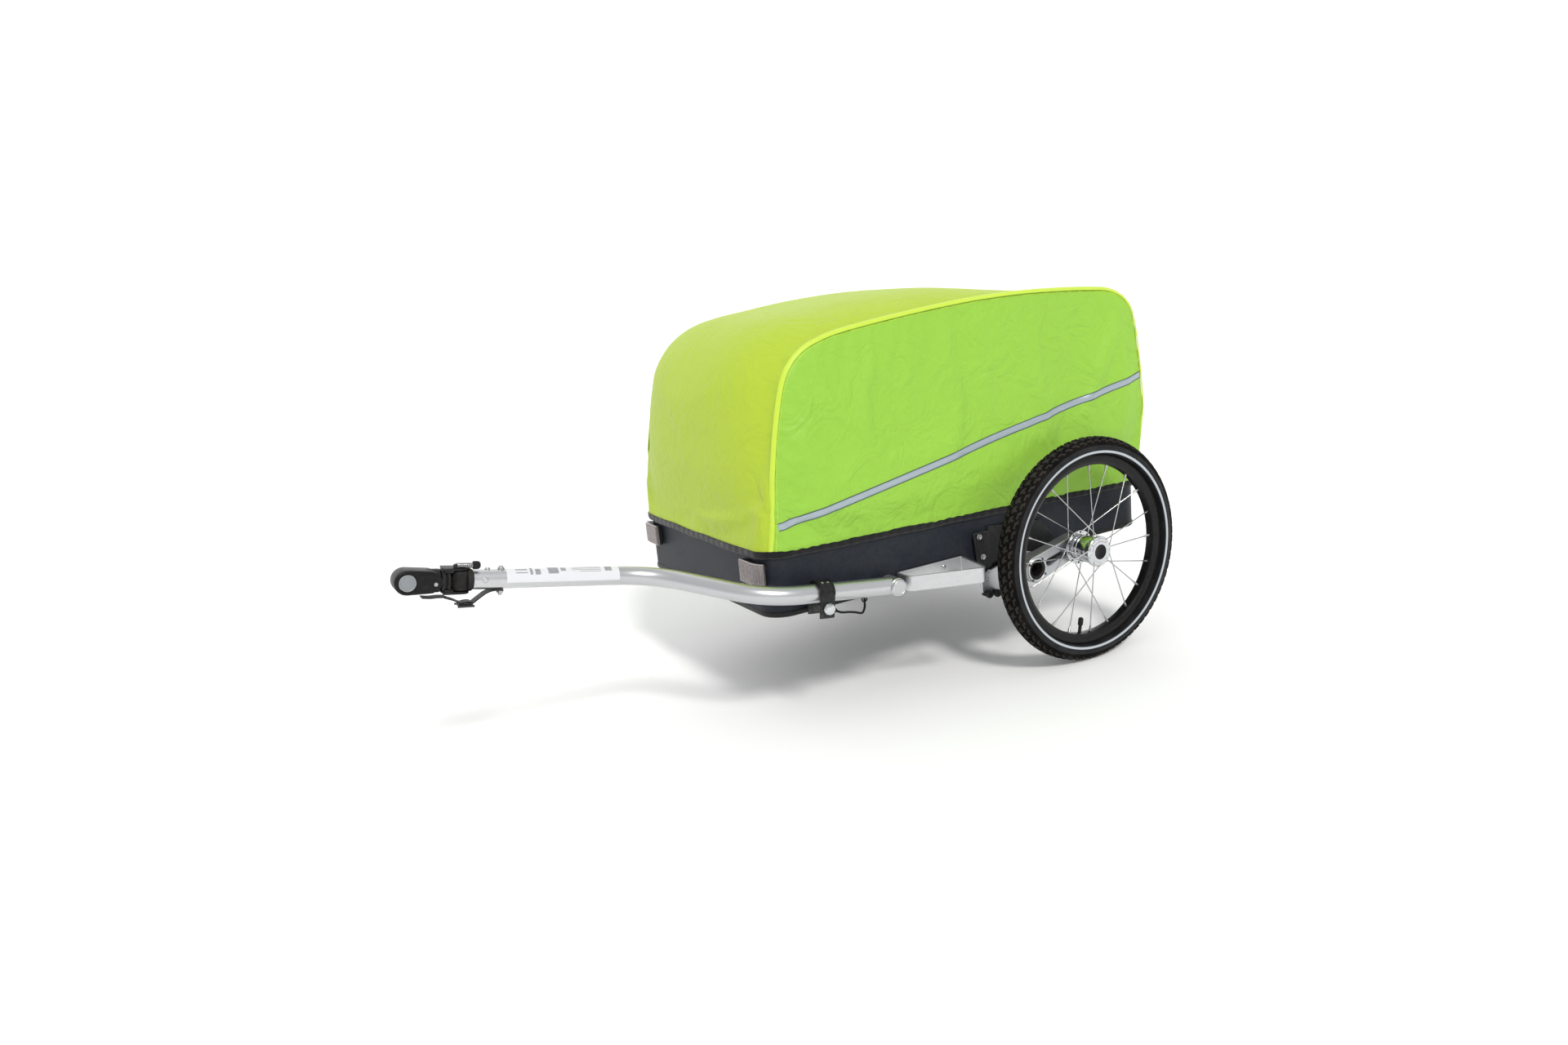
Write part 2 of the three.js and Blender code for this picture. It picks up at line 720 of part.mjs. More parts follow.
// The cord that keeps the locking pin on the drawbar.
const tetherRoute = [
  [517.5, 307, 206],
  [506, 306, 200],
  [488, 301, 195],
  [474, 296, 190],
  [461, 289, 184],
  [452, 283, 182],
  [447, 281, 188],
  [446, 281, 196],
  [446, 281, 204],
];

function pinTether() {
  const path = new THREE.CatmullRomCurve3(tetherRoute.map((p) => new THREE.Vector3(...p)));
  part("pin_tether", tubeAlong(path, 1.8, 12, 8), webbing);
}

tub();
underframe();
reflectors();
cover();
bows();
drawbar();
saddle();
hitch();
safetyStrap();
pinTether();
for (const side of [1, -1]) {
  sideFrame(side);
  wheelGuard(side);
  trailingArm(side);
  wheel(side);
}

// Move the model so that the origin is the middle of the base of its box.
model.updateMatrixWorld(true);
const bounds = new THREE.Box3().setFromObject(model, true);
const middle = bounds.getCenter(new THREE.Vector3());
model.position.set(-middle.x, -middle.y, -bounds.min.z);

export default model;
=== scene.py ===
# %% [markdown]
# # A bicycle cargo trailer under its rain cover
#
# This lesson dresses a finished mechanical model. The frame that is loaded first has
# the right sizes and joints, but every face on it is plain. Each cell below makes one
# piece or one finish of the real trailer, and says why it is made that way.
# Lengths are written in millimetres from one easy point: the spot on the ground
# under the wheels' axle. X runs forward to the hitch, Y to the trailer's left, Z up.

# %% Load the frame
import json
import math

import bmesh
import bpy
from mathutils import Matrix, Vector, noise
from mathutils.bvhtree import BVHTree
from mathutils.geometry import delaunay_2d_cdt


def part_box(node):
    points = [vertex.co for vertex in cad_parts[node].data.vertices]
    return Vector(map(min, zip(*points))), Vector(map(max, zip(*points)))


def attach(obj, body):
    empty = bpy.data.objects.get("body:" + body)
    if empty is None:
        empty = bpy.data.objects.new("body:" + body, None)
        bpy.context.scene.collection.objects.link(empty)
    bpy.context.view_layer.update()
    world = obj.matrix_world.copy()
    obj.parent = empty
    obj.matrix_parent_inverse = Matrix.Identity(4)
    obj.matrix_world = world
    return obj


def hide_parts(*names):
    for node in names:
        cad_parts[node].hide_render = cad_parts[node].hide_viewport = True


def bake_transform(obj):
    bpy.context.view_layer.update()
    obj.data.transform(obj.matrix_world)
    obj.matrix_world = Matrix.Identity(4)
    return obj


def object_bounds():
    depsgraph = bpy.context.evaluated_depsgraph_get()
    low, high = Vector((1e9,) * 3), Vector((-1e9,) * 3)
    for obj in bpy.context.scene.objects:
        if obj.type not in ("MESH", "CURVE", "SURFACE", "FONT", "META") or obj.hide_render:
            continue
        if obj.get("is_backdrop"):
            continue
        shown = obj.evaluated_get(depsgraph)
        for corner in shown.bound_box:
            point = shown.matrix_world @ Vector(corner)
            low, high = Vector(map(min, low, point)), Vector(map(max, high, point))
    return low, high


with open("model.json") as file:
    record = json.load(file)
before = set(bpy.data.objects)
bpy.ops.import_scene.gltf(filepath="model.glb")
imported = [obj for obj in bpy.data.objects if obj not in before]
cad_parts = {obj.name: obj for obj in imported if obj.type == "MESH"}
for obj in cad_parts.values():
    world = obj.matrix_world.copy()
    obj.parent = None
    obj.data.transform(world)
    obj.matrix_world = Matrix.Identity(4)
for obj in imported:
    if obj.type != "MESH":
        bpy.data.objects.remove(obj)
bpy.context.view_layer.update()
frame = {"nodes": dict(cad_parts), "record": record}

# %% The point that every length starts from
wheel_low, wheel_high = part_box("tyre_left")
AXLE_X = (wheel_low.x + wheel_high.x) / 2


def at(x, y, z):
    """A place in millimetres from the ground under the axle, as a point in metres."""
    return Vector((AXLE_X + x / 1000, y / 1000, z / 1000))


print("axle stands at x =", round(AXLE_X, 4))

# %% [markdown]
# ## The camera
# The trailer is seen from its front left, a little above the hubs. The camera comes
# first, because it decides which pieces deserve the most care. Its three turns are
# named as on a ship: yaw swings it round, pitch tips it down, and roll
# tilts the picture. A matrix built from three unit vectors says all of it at once.

# %% Camera
yaw, pitch, roll = -0.495, 0.225, -0.097
SENSOR = 36.0
LENS = 25.18
forward = Vector(
    (math.sin(yaw) * math.cos(pitch), -math.cos(yaw) * math.cos(pitch), -math.sin(pitch))
)
level = forward.cross(Vector((0, 0, 1))).normalized()
upright = level.cross(forward)
right = level * math.cos(roll) + upright * math.sin(roll)
top = upright * math.cos(roll) - level * math.sin(roll)
eye = at(1352.3, 1713.8, 728.1)
camera_data = bpy.data.cameras.new("camera")
camera_data.lens = LENS
camera_data.sensor_width = SENSOR
camera_data.clip_start = 0.05
camera = bpy.data.objects.new("camera", camera_data)
bpy.context.collection.objects.link(camera)
columns = Matrix((right, top, -forward)).transposed()
camera.matrix_world = Matrix.Translation(eye) @ columns.to_4x4()
bpy.context.scene.camera = camera
print("camera at", [round(v, 3) for v in eye])

# %% [markdown]
# ## Words for building shader nodes
# A finish is a small graph of nodes. Writing `nodes.new` and `links.new` for each of
# them hides the idea, so one helper adds a node, sets its options and feeds its
# sockets, either with a number or with another node's output.

# %% Helpers for nodes


def put(tree, kind, inputs=None, **options):
    """Adds a node to a tree, sets its options and fills its inputs."""
    made = tree.nodes.new(kind)
    for key, value in options.items():
        setattr(made, key, value)
    for key, value in (inputs or {}).items():
        if isinstance(value, bpy.types.NodeSocket):
            tree.links.new(value, made.inputs[key])
        else:
            made.inputs[key].default_value = value
    return made


def math_node(tree, operation, first, second=0.0):
    return put(tree, "ShaderNodeMath", {0: first, 1: second}, operation=operation).outputs[0]


def colour_mix(tree, share, first, second):
    made = put(tree, "ShaderNodeMix", data_type="RGBA")
    for index, value in ((0, share), (6, first), (7, second)):
        if isinstance(value, bpy.types.NodeSocket):
            tree.links.new(value, made.inputs[index])
        else:
            made.inputs[index].default_value = value
    return made.outputs[2]


def effect(name, inputs, outputs, fill):
    """A shader node group with named inputs and outputs; fill() makes what is inside."""
    group = bpy.data.node_groups.new(name, "ShaderNodeTree")
    kinds = {float: "NodeSocketFloat", tuple: "NodeSocketColor"}
    for label, value in inputs.items():
        socket = group.interface.new_socket(
            label, in_out="INPUT", socket_type=kinds[type(value)]
        )
        socket.default_value = value
    for label, kind in outputs.items():
        group.interface.new_socket(label, in_out="OUTPUT", socket_type=kind)
    entry = group.nodes.new("NodeGroupInput").outputs
    leave = group.nodes.new("NodeGroupOutput").inputs
    for label, socket in fill(group, entry).items():
        group.links.new(socket, leave[label])
    return group


FLOAT, COLOUR = "NodeSocketFloat", "NodeSocketColor"

# %% [markdown]
# ## Effects that many finishes share
# No real surface has one colour and one gloss all over. These groups make the small
# differences: patches a little lighter or duller, edges rubbed bright, road dust in
# cloudy patches, and the relief of grain, brushing and woven thread. Each is built
# once, and every material places it with its own numbers, so a change here reaches
# all of them. Object coordinates are used, so a pattern stays on its piece.

# %% Uneven colour and gloss


def fill_uneven(tree, entry):
    place = put(tree, "ShaderNodeTexCoord").outputs["Object"]
    patches = put(
        tree,
        "ShaderNodeTexNoise",
        {"Vector": place, "Scale": entry["Scale"], "Detail": 5.0, "Roughness": 0.6},
    ).outputs["Fac"]
    centred = math_node(tree, "SUBTRACT", patches, 0.5)
    shade = math_node(tree, "MULTIPLY_ADD", centred, entry["Amount"])
    shade.node.inputs[2].default_value = 1.0
    colour = put(
        tree,
        "ShaderNodeHueSaturation",
        {"Color": entry["Colour"], "Value": shade, "Saturation": 1.0, "Fac": 1.0},
    ).outputs["Color"]
    spread = math_node(tree, "MULTIPLY", centred, entry["Gloss Spread"])
    roughness = math_node(tree, "ADD", entry["Roughness"], spread)
    return {"Colour": colour, "Roughness": roughness}


uneven = effect(
    "uneven surface",
    {
        "Colour": (0.5, 0.5, 0.5, 1.0),
        "Amount": 0.2,
        "Scale": 12.0,
        "Roughness": 0.5,
        "Gloss Spread": 0.15,
    },
    {"Colour": COLOUR, "Roughness": FLOAT},
    fill_uneven,
)

# %% Rubbed edges and road dust


def fill_rubbed(tree, entry):
    sharp = put(tree, "ShaderNodeNewGeometry").outputs["Pointiness"]
    place = put(tree, "ShaderNodeTexCoord").outputs["Object"]
    broken = put(
        tree, "ShaderNodeTexNoise", {"Vector": place, "Scale": 160.0, "Detail": 4.0}
    ).outputs["Fac"]
    edge = put(
        tree,
        "ShaderNodeMapRange",
        {"Value": sharp, "From Min": 0.51, "From Max": 0.6},
    ).outputs["Result"]
    mask = math_node(tree, "MULTIPLY", math_node(tree, "MULTIPLY", edge, broken), entry["Amount"])
    return {"Colour": colour_mix(tree, mask, entry["Colour"], entry["Bare Colour"])}


rubbed = effect(
    "rubbed edges",
    {"Colour": (0.1, 0.1, 0.1, 1.0), "Bare Colour": (0.5, 0.5, 0.5, 1.0), "Amount": 0.6},
    {"Colour": COLOUR},
    fill_rubbed,
)


def fill_dust(tree, entry):
    place = put(tree, "ShaderNodeTexCoord").outputs["Object"]
    cloud = put(
        tree,
        "ShaderNodeTexNoise",
        {"Vector": place, "Scale": entry["Scale"], "Detail": 6.0, "Roughness": 0.7},
    ).outputs["Fac"]
    held = put(
        tree, "ShaderNodeMapRange", {"Value": cloud, "From Min": 0.42, "From Max": 0.68}
    ).outputs["Result"]
    mask = math_node(tree, "MULTIPLY", held, entry["Amount"])
    return {"Colour": colour_mix(tree, mask, entry["Colour"], entry["Dust Colour"])}


dust = effect(
    "road dust",
    {
        "Colour": (0.1, 0.1, 0.1, 1.0),
        "Dust Colour": (0.16, 0.13, 0.1, 1.0),
        "Amount": 0.3,
        "Scale": 30.0,
    },
    {"Colour": COLOUR},
    fill_dust,
)

# %% Relief: moulded grain, brushed lines, woven thread


def fill_grain(tree, entry):
    place = put(tree, "ShaderNodeTexCoord").outputs["Object"]
    cells = put(
        tree, "ShaderNodeTexVoronoi", {"Vector": place, "Scale": entry["Scale"]}
    ).outputs["Distance"]
    fine = put(
        tree, "ShaderNodeTexNoise", {"Vector": place, "Scale": entry["Scale"], "Detail": 3.0}
    ).outputs["Fac"]
    return {"Height": math_node(tree, "ADD", cells, fine)}


grain = effect("moulded grain", {"Scale": 900.0}, {"Height": FLOAT}, fill_grain)


def fill_brushed(tree, entry):
    place = put(tree, "ShaderNodeTexCoord").outputs["Object"]
    stretch = put(
        tree,
        "ShaderNodeCombineXYZ",
        {"X": entry["Lines X"], "Y": entry["Lines Y"], "Z": entry["Lines Z"]},
    ).outputs[0]
    scaled = put(
        tree, "ShaderNodeVectorMath", {0: place, 1: stretch}, operation="MULTIPLY"
    ).outputs[0]
    lines = put(
        tree, "ShaderNodeTexNoise", {"Vector": scaled, "Scale": 1.0, "Detail": 3.0}
    ).outputs["Fac"]
    return {"Height": lines}


brushed = effect(
    "brushed lines",
    {"Lines X": 60.0, "Lines Y": 2500.0, "Lines Z": 2500.0},
    {"Height": FLOAT},
    fill_brushed,
)


def fill_weave(tree, entry):
    flat = put(tree, "ShaderNodeUVMap").outputs["UV"]
    axes = put(tree, "ShaderNodeSeparateXYZ", {0: flat}).outputs
    waves = []
    for axis in (axes["X"], axes["Y"]):
        turns = math_node(tree, "MULTIPLY", axis, entry["Threads"])
        waves.append(math_node(tree, "SINE", turns))
    woven = math_node(tree, "MULTIPLY", waves[0], waves[1])
    height = math_node(tree, "MULTIPLY", woven, entry["Thread Height"])
    for label, scale, bend in (("Crinkle", 55.0, 0.6), ("Folds", 13.0, 1.6)):
        soft = put(
            tree,
            "ShaderNodeTexNoise",
            {"Vector": flat, "Scale": scale, "Detail": 3.0, "Distortion": bend},
        ).outputs["Fac"]
        creased = math_node(tree, "ABSOLUTE", math_node(tree, "SUBTRACT", soft, 0.5))
        height = math_node(tree, "ADD", height, math_node(tree, "MULTIPLY", creased, entry[label]))
    return {"Height": height}


weave = effect(
    "woven thread",
    {"Threads": 6000.0, "Thread Height": 1.0, "Crinkle": 8.0, "Folds": 0.0},
    {"Height": FLOAT},
    fill_weave,
)
print("effects:", [group.name for group in bpy.data.node_groups])

# %% [markdown]
# ## The finishes
# Every material is one Principled shader. The groups above feed its colour, gloss and
# bump; a number that is the same all over is set on the shader itself. A finish is
# described by the words a maker would use: its colour, how rough it is, whether it
# is metal, and what its relief is.

# %% How a finish is put together


def linear(red, green, blue):
    """Turns screen colour values from 0 to 255 into the light values shaders use."""
    shares = [value / 255 for value in (red, green, blue)]
    turned = [s / 12.92 if s <= 0.04045 else ((s + 0.055) / 1.055) ** 2.4 for s in shares]
    return (*turned, 1.0)


def finish(name, colour, roughness, metallic=0.0, amount=0.15, scale=12.0, spread=0.12,
           bare=None, wear=0.6, dusty=None, dust_amount=0.3, relief=None, depth=0.0002,
           strength=0.3, **own):
    """A material: uneven colour and gloss, then wear and dust, then relief."""
    made = bpy.data.materials.new(name)
    made.use_nodes = True
    tree = made.node_tree
    shader = tree.nodes["Principled BSDF"]
    base = put(
        tree,
        "ShaderNodeGroup",
        node_tree=uneven,
    )
    values = {
        "Colour": colour,
        "Amount": amount,
        "Scale": scale,
        "Roughness": roughness,
        "Gloss Spread": spread,
    }
    for label, value in values.items():
        base.inputs[label].default_value = value
    shown = base.outputs["Colour"]
    if bare:
        edges = put(tree, "ShaderNodeGroup", node_tree=rubbed)
        tree.links.new(shown, edges.inputs["Colour"])
        edges.inputs["Bare Colour"].default_value = bare
        edges.inputs["Amount"].default_value = wear
        shown = edges.outputs["Colour"]
    if dusty:
        film = put(tree, "ShaderNodeGroup", node_tree=dust)
        tree.links.new(shown, film.inputs["Colour"])
        film.inputs["Dust Colour"].default_value = dusty
        film.inputs["Amount"].default_value = dust_amount
        shown = film.outputs["Colour"]
    tree.links.new(shown, shader.inputs["Base Color"])
    tree.links.new(base.outputs["Roughness"], shader.inputs["Roughness"])
    if relief:
        group, settings = relief
        heights = put(tree, "ShaderNodeGroup", node_tree=group)
        for label, value in settings.items():
            heights.inputs[label].default_value = value
        bump = put(
            tree,
            "ShaderNodeBump",
            {"Height": heights.outputs["Height"], "Strength": strength, "Distance": depth},
        )
        tree.links.new(bump.outputs["Normal"], shader.inputs["Normal"])
    shader.inputs["Metallic"].default_value = metallic
    for socket, value in own.items():
        shader.inputs[socket.replace("_", " ")].default_value = value
    return made


# %% Cloth, webbing and tape
MAIN_YELLOW = linear(164, 188, 48)
SIDE_LIME = linear(138, 186, 60)
# Both cover cloths emit a little of their own colour: a painted glow that stands in for light shining
# through the thin fluorescent cloth.
cloth_main = finish(
    "cover cloth yellow", MAIN_YELLOW, 0.5, amount=0.07, scale=7.0,
    relief=(weave, {"Threads": 6000.0, "Thread Height": 0.02, "Crinkle": 1.6, "Folds": 7.0}),
    depth=0.0022, strength=0.55, Specular_IOR_Level=0.35, Emission_Color=MAIN_YELLOW, Emission_Strength=0.05,
)
cloth_side = finish(
    "cover cloth lime", SIDE_LIME, 0.5, amount=0.07, scale=7.0,
    relief=(weave, {"Threads": 6000.0, "Thread Height": 0.02, "Crinkle": 1.6, "Folds": 7.0}),
    depth=0.0022, strength=0.55, Specular_IOR_Level=0.35, Emission_Color=SIDE_LIME, Emission_Strength=0.05,
)
PIPING_YELLOW = linear(184, 210, 54)
# The piping also emits a little of its own colour: a painted glow like the cloth's.
seam_yellow = finish(
    "seam piping yellow", PIPING_YELLOW, 0.42, amount=0.08, scale=60.0,
    relief=(weave, {"Threads": 5000.0, "Crinkle": 3.0}), depth=0.0003, strength=0.4,
    Sheen_Weight=0.2, Emission_Color=PIPING_YELLOW, Emission_Strength=0.05,
)
binding_black = finish(
    "hem binding black", linear(13, 13, 14), 0.8, amount=0.3, scale=60.0,
    relief=(weave, {"Threads": 4200.0, "Crinkle": 2.0}), depth=0.0004, strength=0.6,
    Sheen_Weight=0.3,
    Specular_IOR_Level=0.2,
)
webbing_black = finish(
    "webbing black", linear(13, 13, 14), 0.75, amount=0.35, scale=80.0,
    relief=(weave, {"Threads": 3600.0, "Crinkle": 1.0}), depth=0.0005, strength=0.8,
    Sheen_Weight=0.3,
    Specular_IOR_Level=0.2,
)
cord_black = finish(
    "braided cord black", linear(12, 12, 13), 0.7, amount=0.3, scale=200.0,
    relief=(grain, {"Scale": 1400.0}), depth=0.0004, strength=0.7,
    Specular_IOR_Level=0.2,
)
tape_grey = finish(
    "reflective tape", linear(158, 170, 178), 0.36, metallic=0.35, amount=0.1, scale=40.0,
    relief=(grain, {"Scale": 2200.0}), depth=0.0001, strength=0.3,
)
tape_edge = finish(
    "tape edge dark", linear(70, 88, 84), 0.6, amount=0.2, scale=80.0,
    relief=(grain, {"Scale": 1800.0}), depth=0.0001, strength=0.3,
)
stitch_thread = finish(
    "stitching thread", linear(214, 232, 70), 0.6, amount=0.2, scale=300.0,
    relief=(grain, {"Scale": 3000.0}), depth=0.0001, strength=0.3,
)

# %% Metals
anodised = finish(
    "silver anodised tube", (0.52, 0.525, 0.54, 1.0), 0.3, metallic=0.9, amount=0.06,
    scale=9.0, spread=0.1, bare=(0.9, 0.9, 0.9, 1.0), wear=0.4,
    relief=(brushed, {"Lines X": 40.0, "Lines Y": 1800.0, "Lines Z": 1800.0}),
    depth=0.0001, strength=0.1,
)
cast_silver = finish(
    "cast aluminium", (0.47, 0.48, 0.5, 1.0), 0.36, metallic=0.85, amount=0.12,
    scale=20.0, spread=0.15, bare=(0.9, 0.9, 0.9, 1.0), wear=0.5,
    relief=(grain, {"Scale": 700.0}), depth=0.0001, strength=0.12,
)
polished_alloy = finish(
    "polished alloy", (0.6, 0.61, 0.63, 1.0), 0.16, metallic=1.0, amount=0.06,
    scale=25.0, spread=0.12,
    relief=(brushed, {"Lines X": 900.0, "Lines Y": 60.0, "Lines Z": 900.0}),
    depth=0.00005, strength=0.1,
)
zinc_steel = finish(
    "zinc plated steel", (0.45, 0.45, 0.46, 1.0), 0.28, metallic=1.0, amount=0.15,
    scale=60.0, spread=0.2,
    relief=(grain, {"Scale": 1200.0}), depth=0.00005, strength=0.1,
)
spoke_steel = finish(
    "spoke steel", (0.5, 0.5, 0.51, 1.0), 0.2, metallic=1.0, amount=0.1, scale=40.0,
    relief=(brushed, {"Lines X": 300.0, "Lines Y": 300.0, "Lines Z": 300.0}),
    depth=0.00005, strength=0.1,
)
black_paint = finish(
    "black painted metal", linear(12, 12, 13), 0.36, metallic=0.2, amount=0.2, scale=20.0,
    bare=(0.3, 0.3, 0.31, 1.0), wear=0.3,
    relief=(grain, {"Scale": 1100.0}), depth=0.0001, strength=0.12, Coat_Weight=0.05,
    Specular_IOR_Level=0.2,
)
rim_black = finish(
    "black rim", linear(11, 10, 11), 0.34, metallic=0.4, amount=0.2, scale=15.0,
    bare=(0.2, 0.2, 0.2, 1.0), wear=0.3,
    relief=(brushed, {"Lines X": 700.0, "Lines Y": 90.0, "Lines Z": 700.0}),
    depth=0.00005, strength=0.1, Coat_Weight=0.1, Coat_Roughness=0.25,
    Specular_IOR_Level=0.2,
)

# %% Plastics, rubber and lenses
tub_skin = finish(
    "tub laminate", linear(20, 26, 36), 0.5, amount=0.14, scale=6.0, spread=0.1,
    bare=(0.08, 0.085, 0.09, 1.0), wear=0.3, dusty=(0.04, 0.04, 0.042, 1.0), dust_amount=0.15,
    relief=(grain, {"Scale": 800.0}), depth=0.0002, strength=0.2,
    Specular_IOR_Level=0.2,
)
moulded_black = finish(
    "moulded black plastic", linear(12, 12, 13), 0.4, amount=0.3, scale=18.0, spread=0.2,
    bare=(0.1, 0.1, 0.1, 1.0), wear=0.3,
    relief=(grain, {"Scale": 1300.0}), depth=0.0001, strength=0.2,
    Specular_IOR_Level=0.2,
)
joint_rubber = finish(
    "joint rubber", linear(16, 16, 17), 0.62, amount=0.3, scale=30.0, spread=0.15,
    dusty=(0.09, 0.08, 0.07, 1.0), dust_amount=0.25,
    relief=(grain, {"Scale": 900.0}), depth=0.0002, strength=0.25,
    Specular_IOR_Level=0.2,
)
disc_grey = finish(
    "grey lock disc", linear(128, 132, 136), 0.42, amount=0.2, scale=60.0,
    bare=(0.6, 0.6, 0.6, 1.0), wear=0.4,
    relief=(grain, {"Scale": 900.0}), depth=0.0002, strength=0.25,
)
tread_rubber = finish(
    "tyre tread", linear(40, 37, 35), 0.82, amount=0.3, scale=35.0,
    dusty=(0.05, 0.044, 0.038, 1.0), dust_amount=0.5,
    relief=(grain, {"Scale": 500.0}), depth=0.0003, strength=0.4,
    Specular_IOR_Level=0.2,
)
# The groove faces are coloured near black, far darker than the tread rubber: painted shade in the grooves.
# Their light patches are real dust.
groove_painted_shade_rubber = finish(
    "tyre grooves painted shade", linear(9, 8, 8), 0.9, amount=0.3, scale=35.0,
    dusty=(0.02, 0.017, 0.014, 1.0), dust_amount=0.5,
    relief=(grain, {"Scale": 500.0}), depth=0.0002, strength=0.3, Specular_IOR_Level=0.1,
)
wall_rubber = finish(
    "tyre side wall", linear(18, 19, 22), 0.6, amount=0.25, scale=25.0, spread=0.12,
    dusty=(0.05, 0.048, 0.045, 1.0), dust_amount=0.3,
    relief=(grain, {"Scale": 900.0}), depth=0.0001, strength=0.2,
    Specular_IOR_Level=0.2,
)
stripe_grey = finish(
    "reflective stripe", linear(176, 182, 188), 0.4, metallic=0.2, amount=0.15, scale=50.0,
    relief=(grain, {"Scale": 2200.0}), depth=0.0001, strength=0.3,
)
lens_clear = finish(
    "clear lens", linear(186, 178, 178), 0.1, amount=0.12, scale=60.0,
    relief=(grain, {"Scale": 600.0}), depth=0.0001, strength=0.15,
    Transmission_Weight=0.55, IOR=1.49,
)
lens_back = finish(
    "lens backing", linear(150, 142, 142), 0.2, metallic=0.55, amount=0.35, scale=90.0,
    relief=(grain, {"Scale": 500.0}), depth=0.0006, strength=0.7,
)
lens_red = finish(
    "red lens", linear(176, 14, 12), 0.12, amount=0.15, scale=60.0,
    relief=(grain, {"Scale": 600.0}), depth=0.0002, strength=0.3, Coat_Weight=0.6,
)
label_film = finish(
    "label film", linear(212, 213, 218), 0.3, amount=0.05, scale=40.0,
    relief=(grain, {"Scale": 900.0}), depth=0.00005, strength=0.1, Coat_Weight=0.4,
)
print("finishes:", len(bpy.data.materials))

# %% [markdown]
# ## Helpers that make shapes
# Four ways of making a shape cover nearly every piece here. Turning a profile round
# an axis gives wheels, hubs and bolts. Sweeping a section along a path gives tubes,
# spokes and cords. A plate is a flat outline with holes and softened edges; Blender's
# 2-D curves fill and bevel it. A block is a box with rounded edges. Each returns
# points and faces, so several can be joined in one piece before it is made.

# %% Turning and sweeping


def turned(profile, sides=48):
    """Points and faces of a closed (radius, y) profile turned about the Y axis."""
    points, faces = [], []
    rows = len(profile)
    for i in range(sides):
        angle = 2 * math.pi * i / sides
        for radius, y in profile:
            points.append(Vector((radius * math.sin(angle), y, radius * math.cos(angle))))
    for i in range(sides):
        here, there = i * rows, (i + 1) % sides * rows
        for j in range(rows):
            k = (j + 1) % rows
            faces.append((here + j, here + k, there + k, there + j))
    return points, faces


def circle(radius, sides=16, squash=1.0):
    """A round or flattened section, as a list of two numbers a corner."""
    turns = [2 * math.pi * i / sides for i in range(sides)]
    return [(radius * math.cos(a), radius * squash * math.sin(a)) for a in turns]


def swept(path, section, closed=False, up=None, sizes=None):
    """A section carried along a path; up keeps a flat strap from twisting."""
    points, faces = [], []
    count, sides = len(path), len(section)
    aside = None
    for i, here in enumerate(path):
        before = path[(i - 1) % count] if closed or i else path[i]
        after = path[(i + 1) % count] if closed or i < count - 1 else path[i]
        along = (after - before).normalized()
        guide = up or (aside.cross(along) if aside else Vector((0.13, 0.31, 0.94)))
        aside = along.cross(guide).normalized()
        over = aside.cross(along).normalized()
        size = sizes[i] if sizes else 1.0
        points += [here + (aside * a + over * b) * size for a, b in section]
    for i in range(count if closed else count - 1):
        here, there = i * sides, (i + 1) % count * sides
        for j in range(sides):
            k = (j + 1) % sides
            faces.append((here + j, here + k, there + k, there + j))
    if not closed:
        faces.append(tuple(range(sides))[::-1])
        faces.append(tuple(range((count - 1) * sides, count * sides)))
    return points, faces


def smooth_path(points, steps=6):
    """A round line through the points, by the Catmull-Rom rule."""
    ends = [points[0] * 2 - points[1], *points, points[-1] * 2 - points[-2]]
    line = []
    for i in range(1, len(ends) - 2):
        a, b, c, d = ends[i - 1 : i + 3]
        for k in range(steps):
            t = k / steps
            line.append(
                0.5 * (2 * b + (c - a) * t + (2 * a - 5 * b + 4 * c - d) * t * t
                       + (3 * b - a - 3 * c + d) * t ** 3)
            )
    return [*line, points[-1]]


# %% Plates and blocks


def plate(outlines, low, high, bevel, steps=2):
    """A flat piece: outlines of (x, z) corners, the first outside and the rest holes."""
    data = bpy.data.curves.new("plate", "CURVE")
    data.dimensions = "2D"
    data.fill_mode = "BOTH"
    data.extrude = (high - low) / 2 - bevel
    data.bevel_depth = bevel
    data.bevel_resolution = steps
    data.offset = -bevel
    for corners in outlines:
        spline = data.splines.new("POLY")
        spline.points.add(len(corners) - 1)
        spline.use_cyclic_u = True
        for point, (x, z) in zip(spline.points, corners):
            point.co = (x, z, 0, 1)
    holder = bpy.data.objects.new("plate", data)
    bpy.context.collection.objects.link(holder)
    bpy.context.view_layer.update()
    mesh = bpy.data.meshes.new_from_object(holder.evaluated_get(
        bpy.context.evaluated_depsgraph_get()))
    middle = (low + high) / 2
    points = [Vector((v.co.x, middle - v.co.z, v.co.y)) for v in mesh.vertices]
    faces = [tuple(f.vertices) for f in mesh.polygons]
    bpy.data.objects.remove(holder)
    bpy.data.meshes.remove(mesh)
    bpy.data.curves.remove(data)
    return points, faces


def arc(x, z, radius, start, end, steps=10):
    """Corners along an arc, from start to end in degrees."""
    turns = [math.radians(start + (end - start) * i / steps) for i in range(steps + 1)]
    return [(x + radius * math.cos(a), z + radius * math.sin(a)) for a in turns]


def hole(x, z, radius, steps=24):
    return arc(x, z, radius, 0, 360 * (steps - 1) / steps, steps - 1)


def strap_outline(x1, z1, r1, x2, z2, r2, steps=16):
    """The outline of a belt pulled tight round two circles."""
    along = math.degrees(math.atan2(z2 - z1, x2 - x1))
    spread = math.degrees(math.acos((r1 - r2) / math.hypot(x2 - x1, z2 - z1)))
    first = arc(x1, z1, r1, along + spread, along - spread + 360, steps)
    return first + arc(x2, z2, r2, along - spread, along + spread, steps)


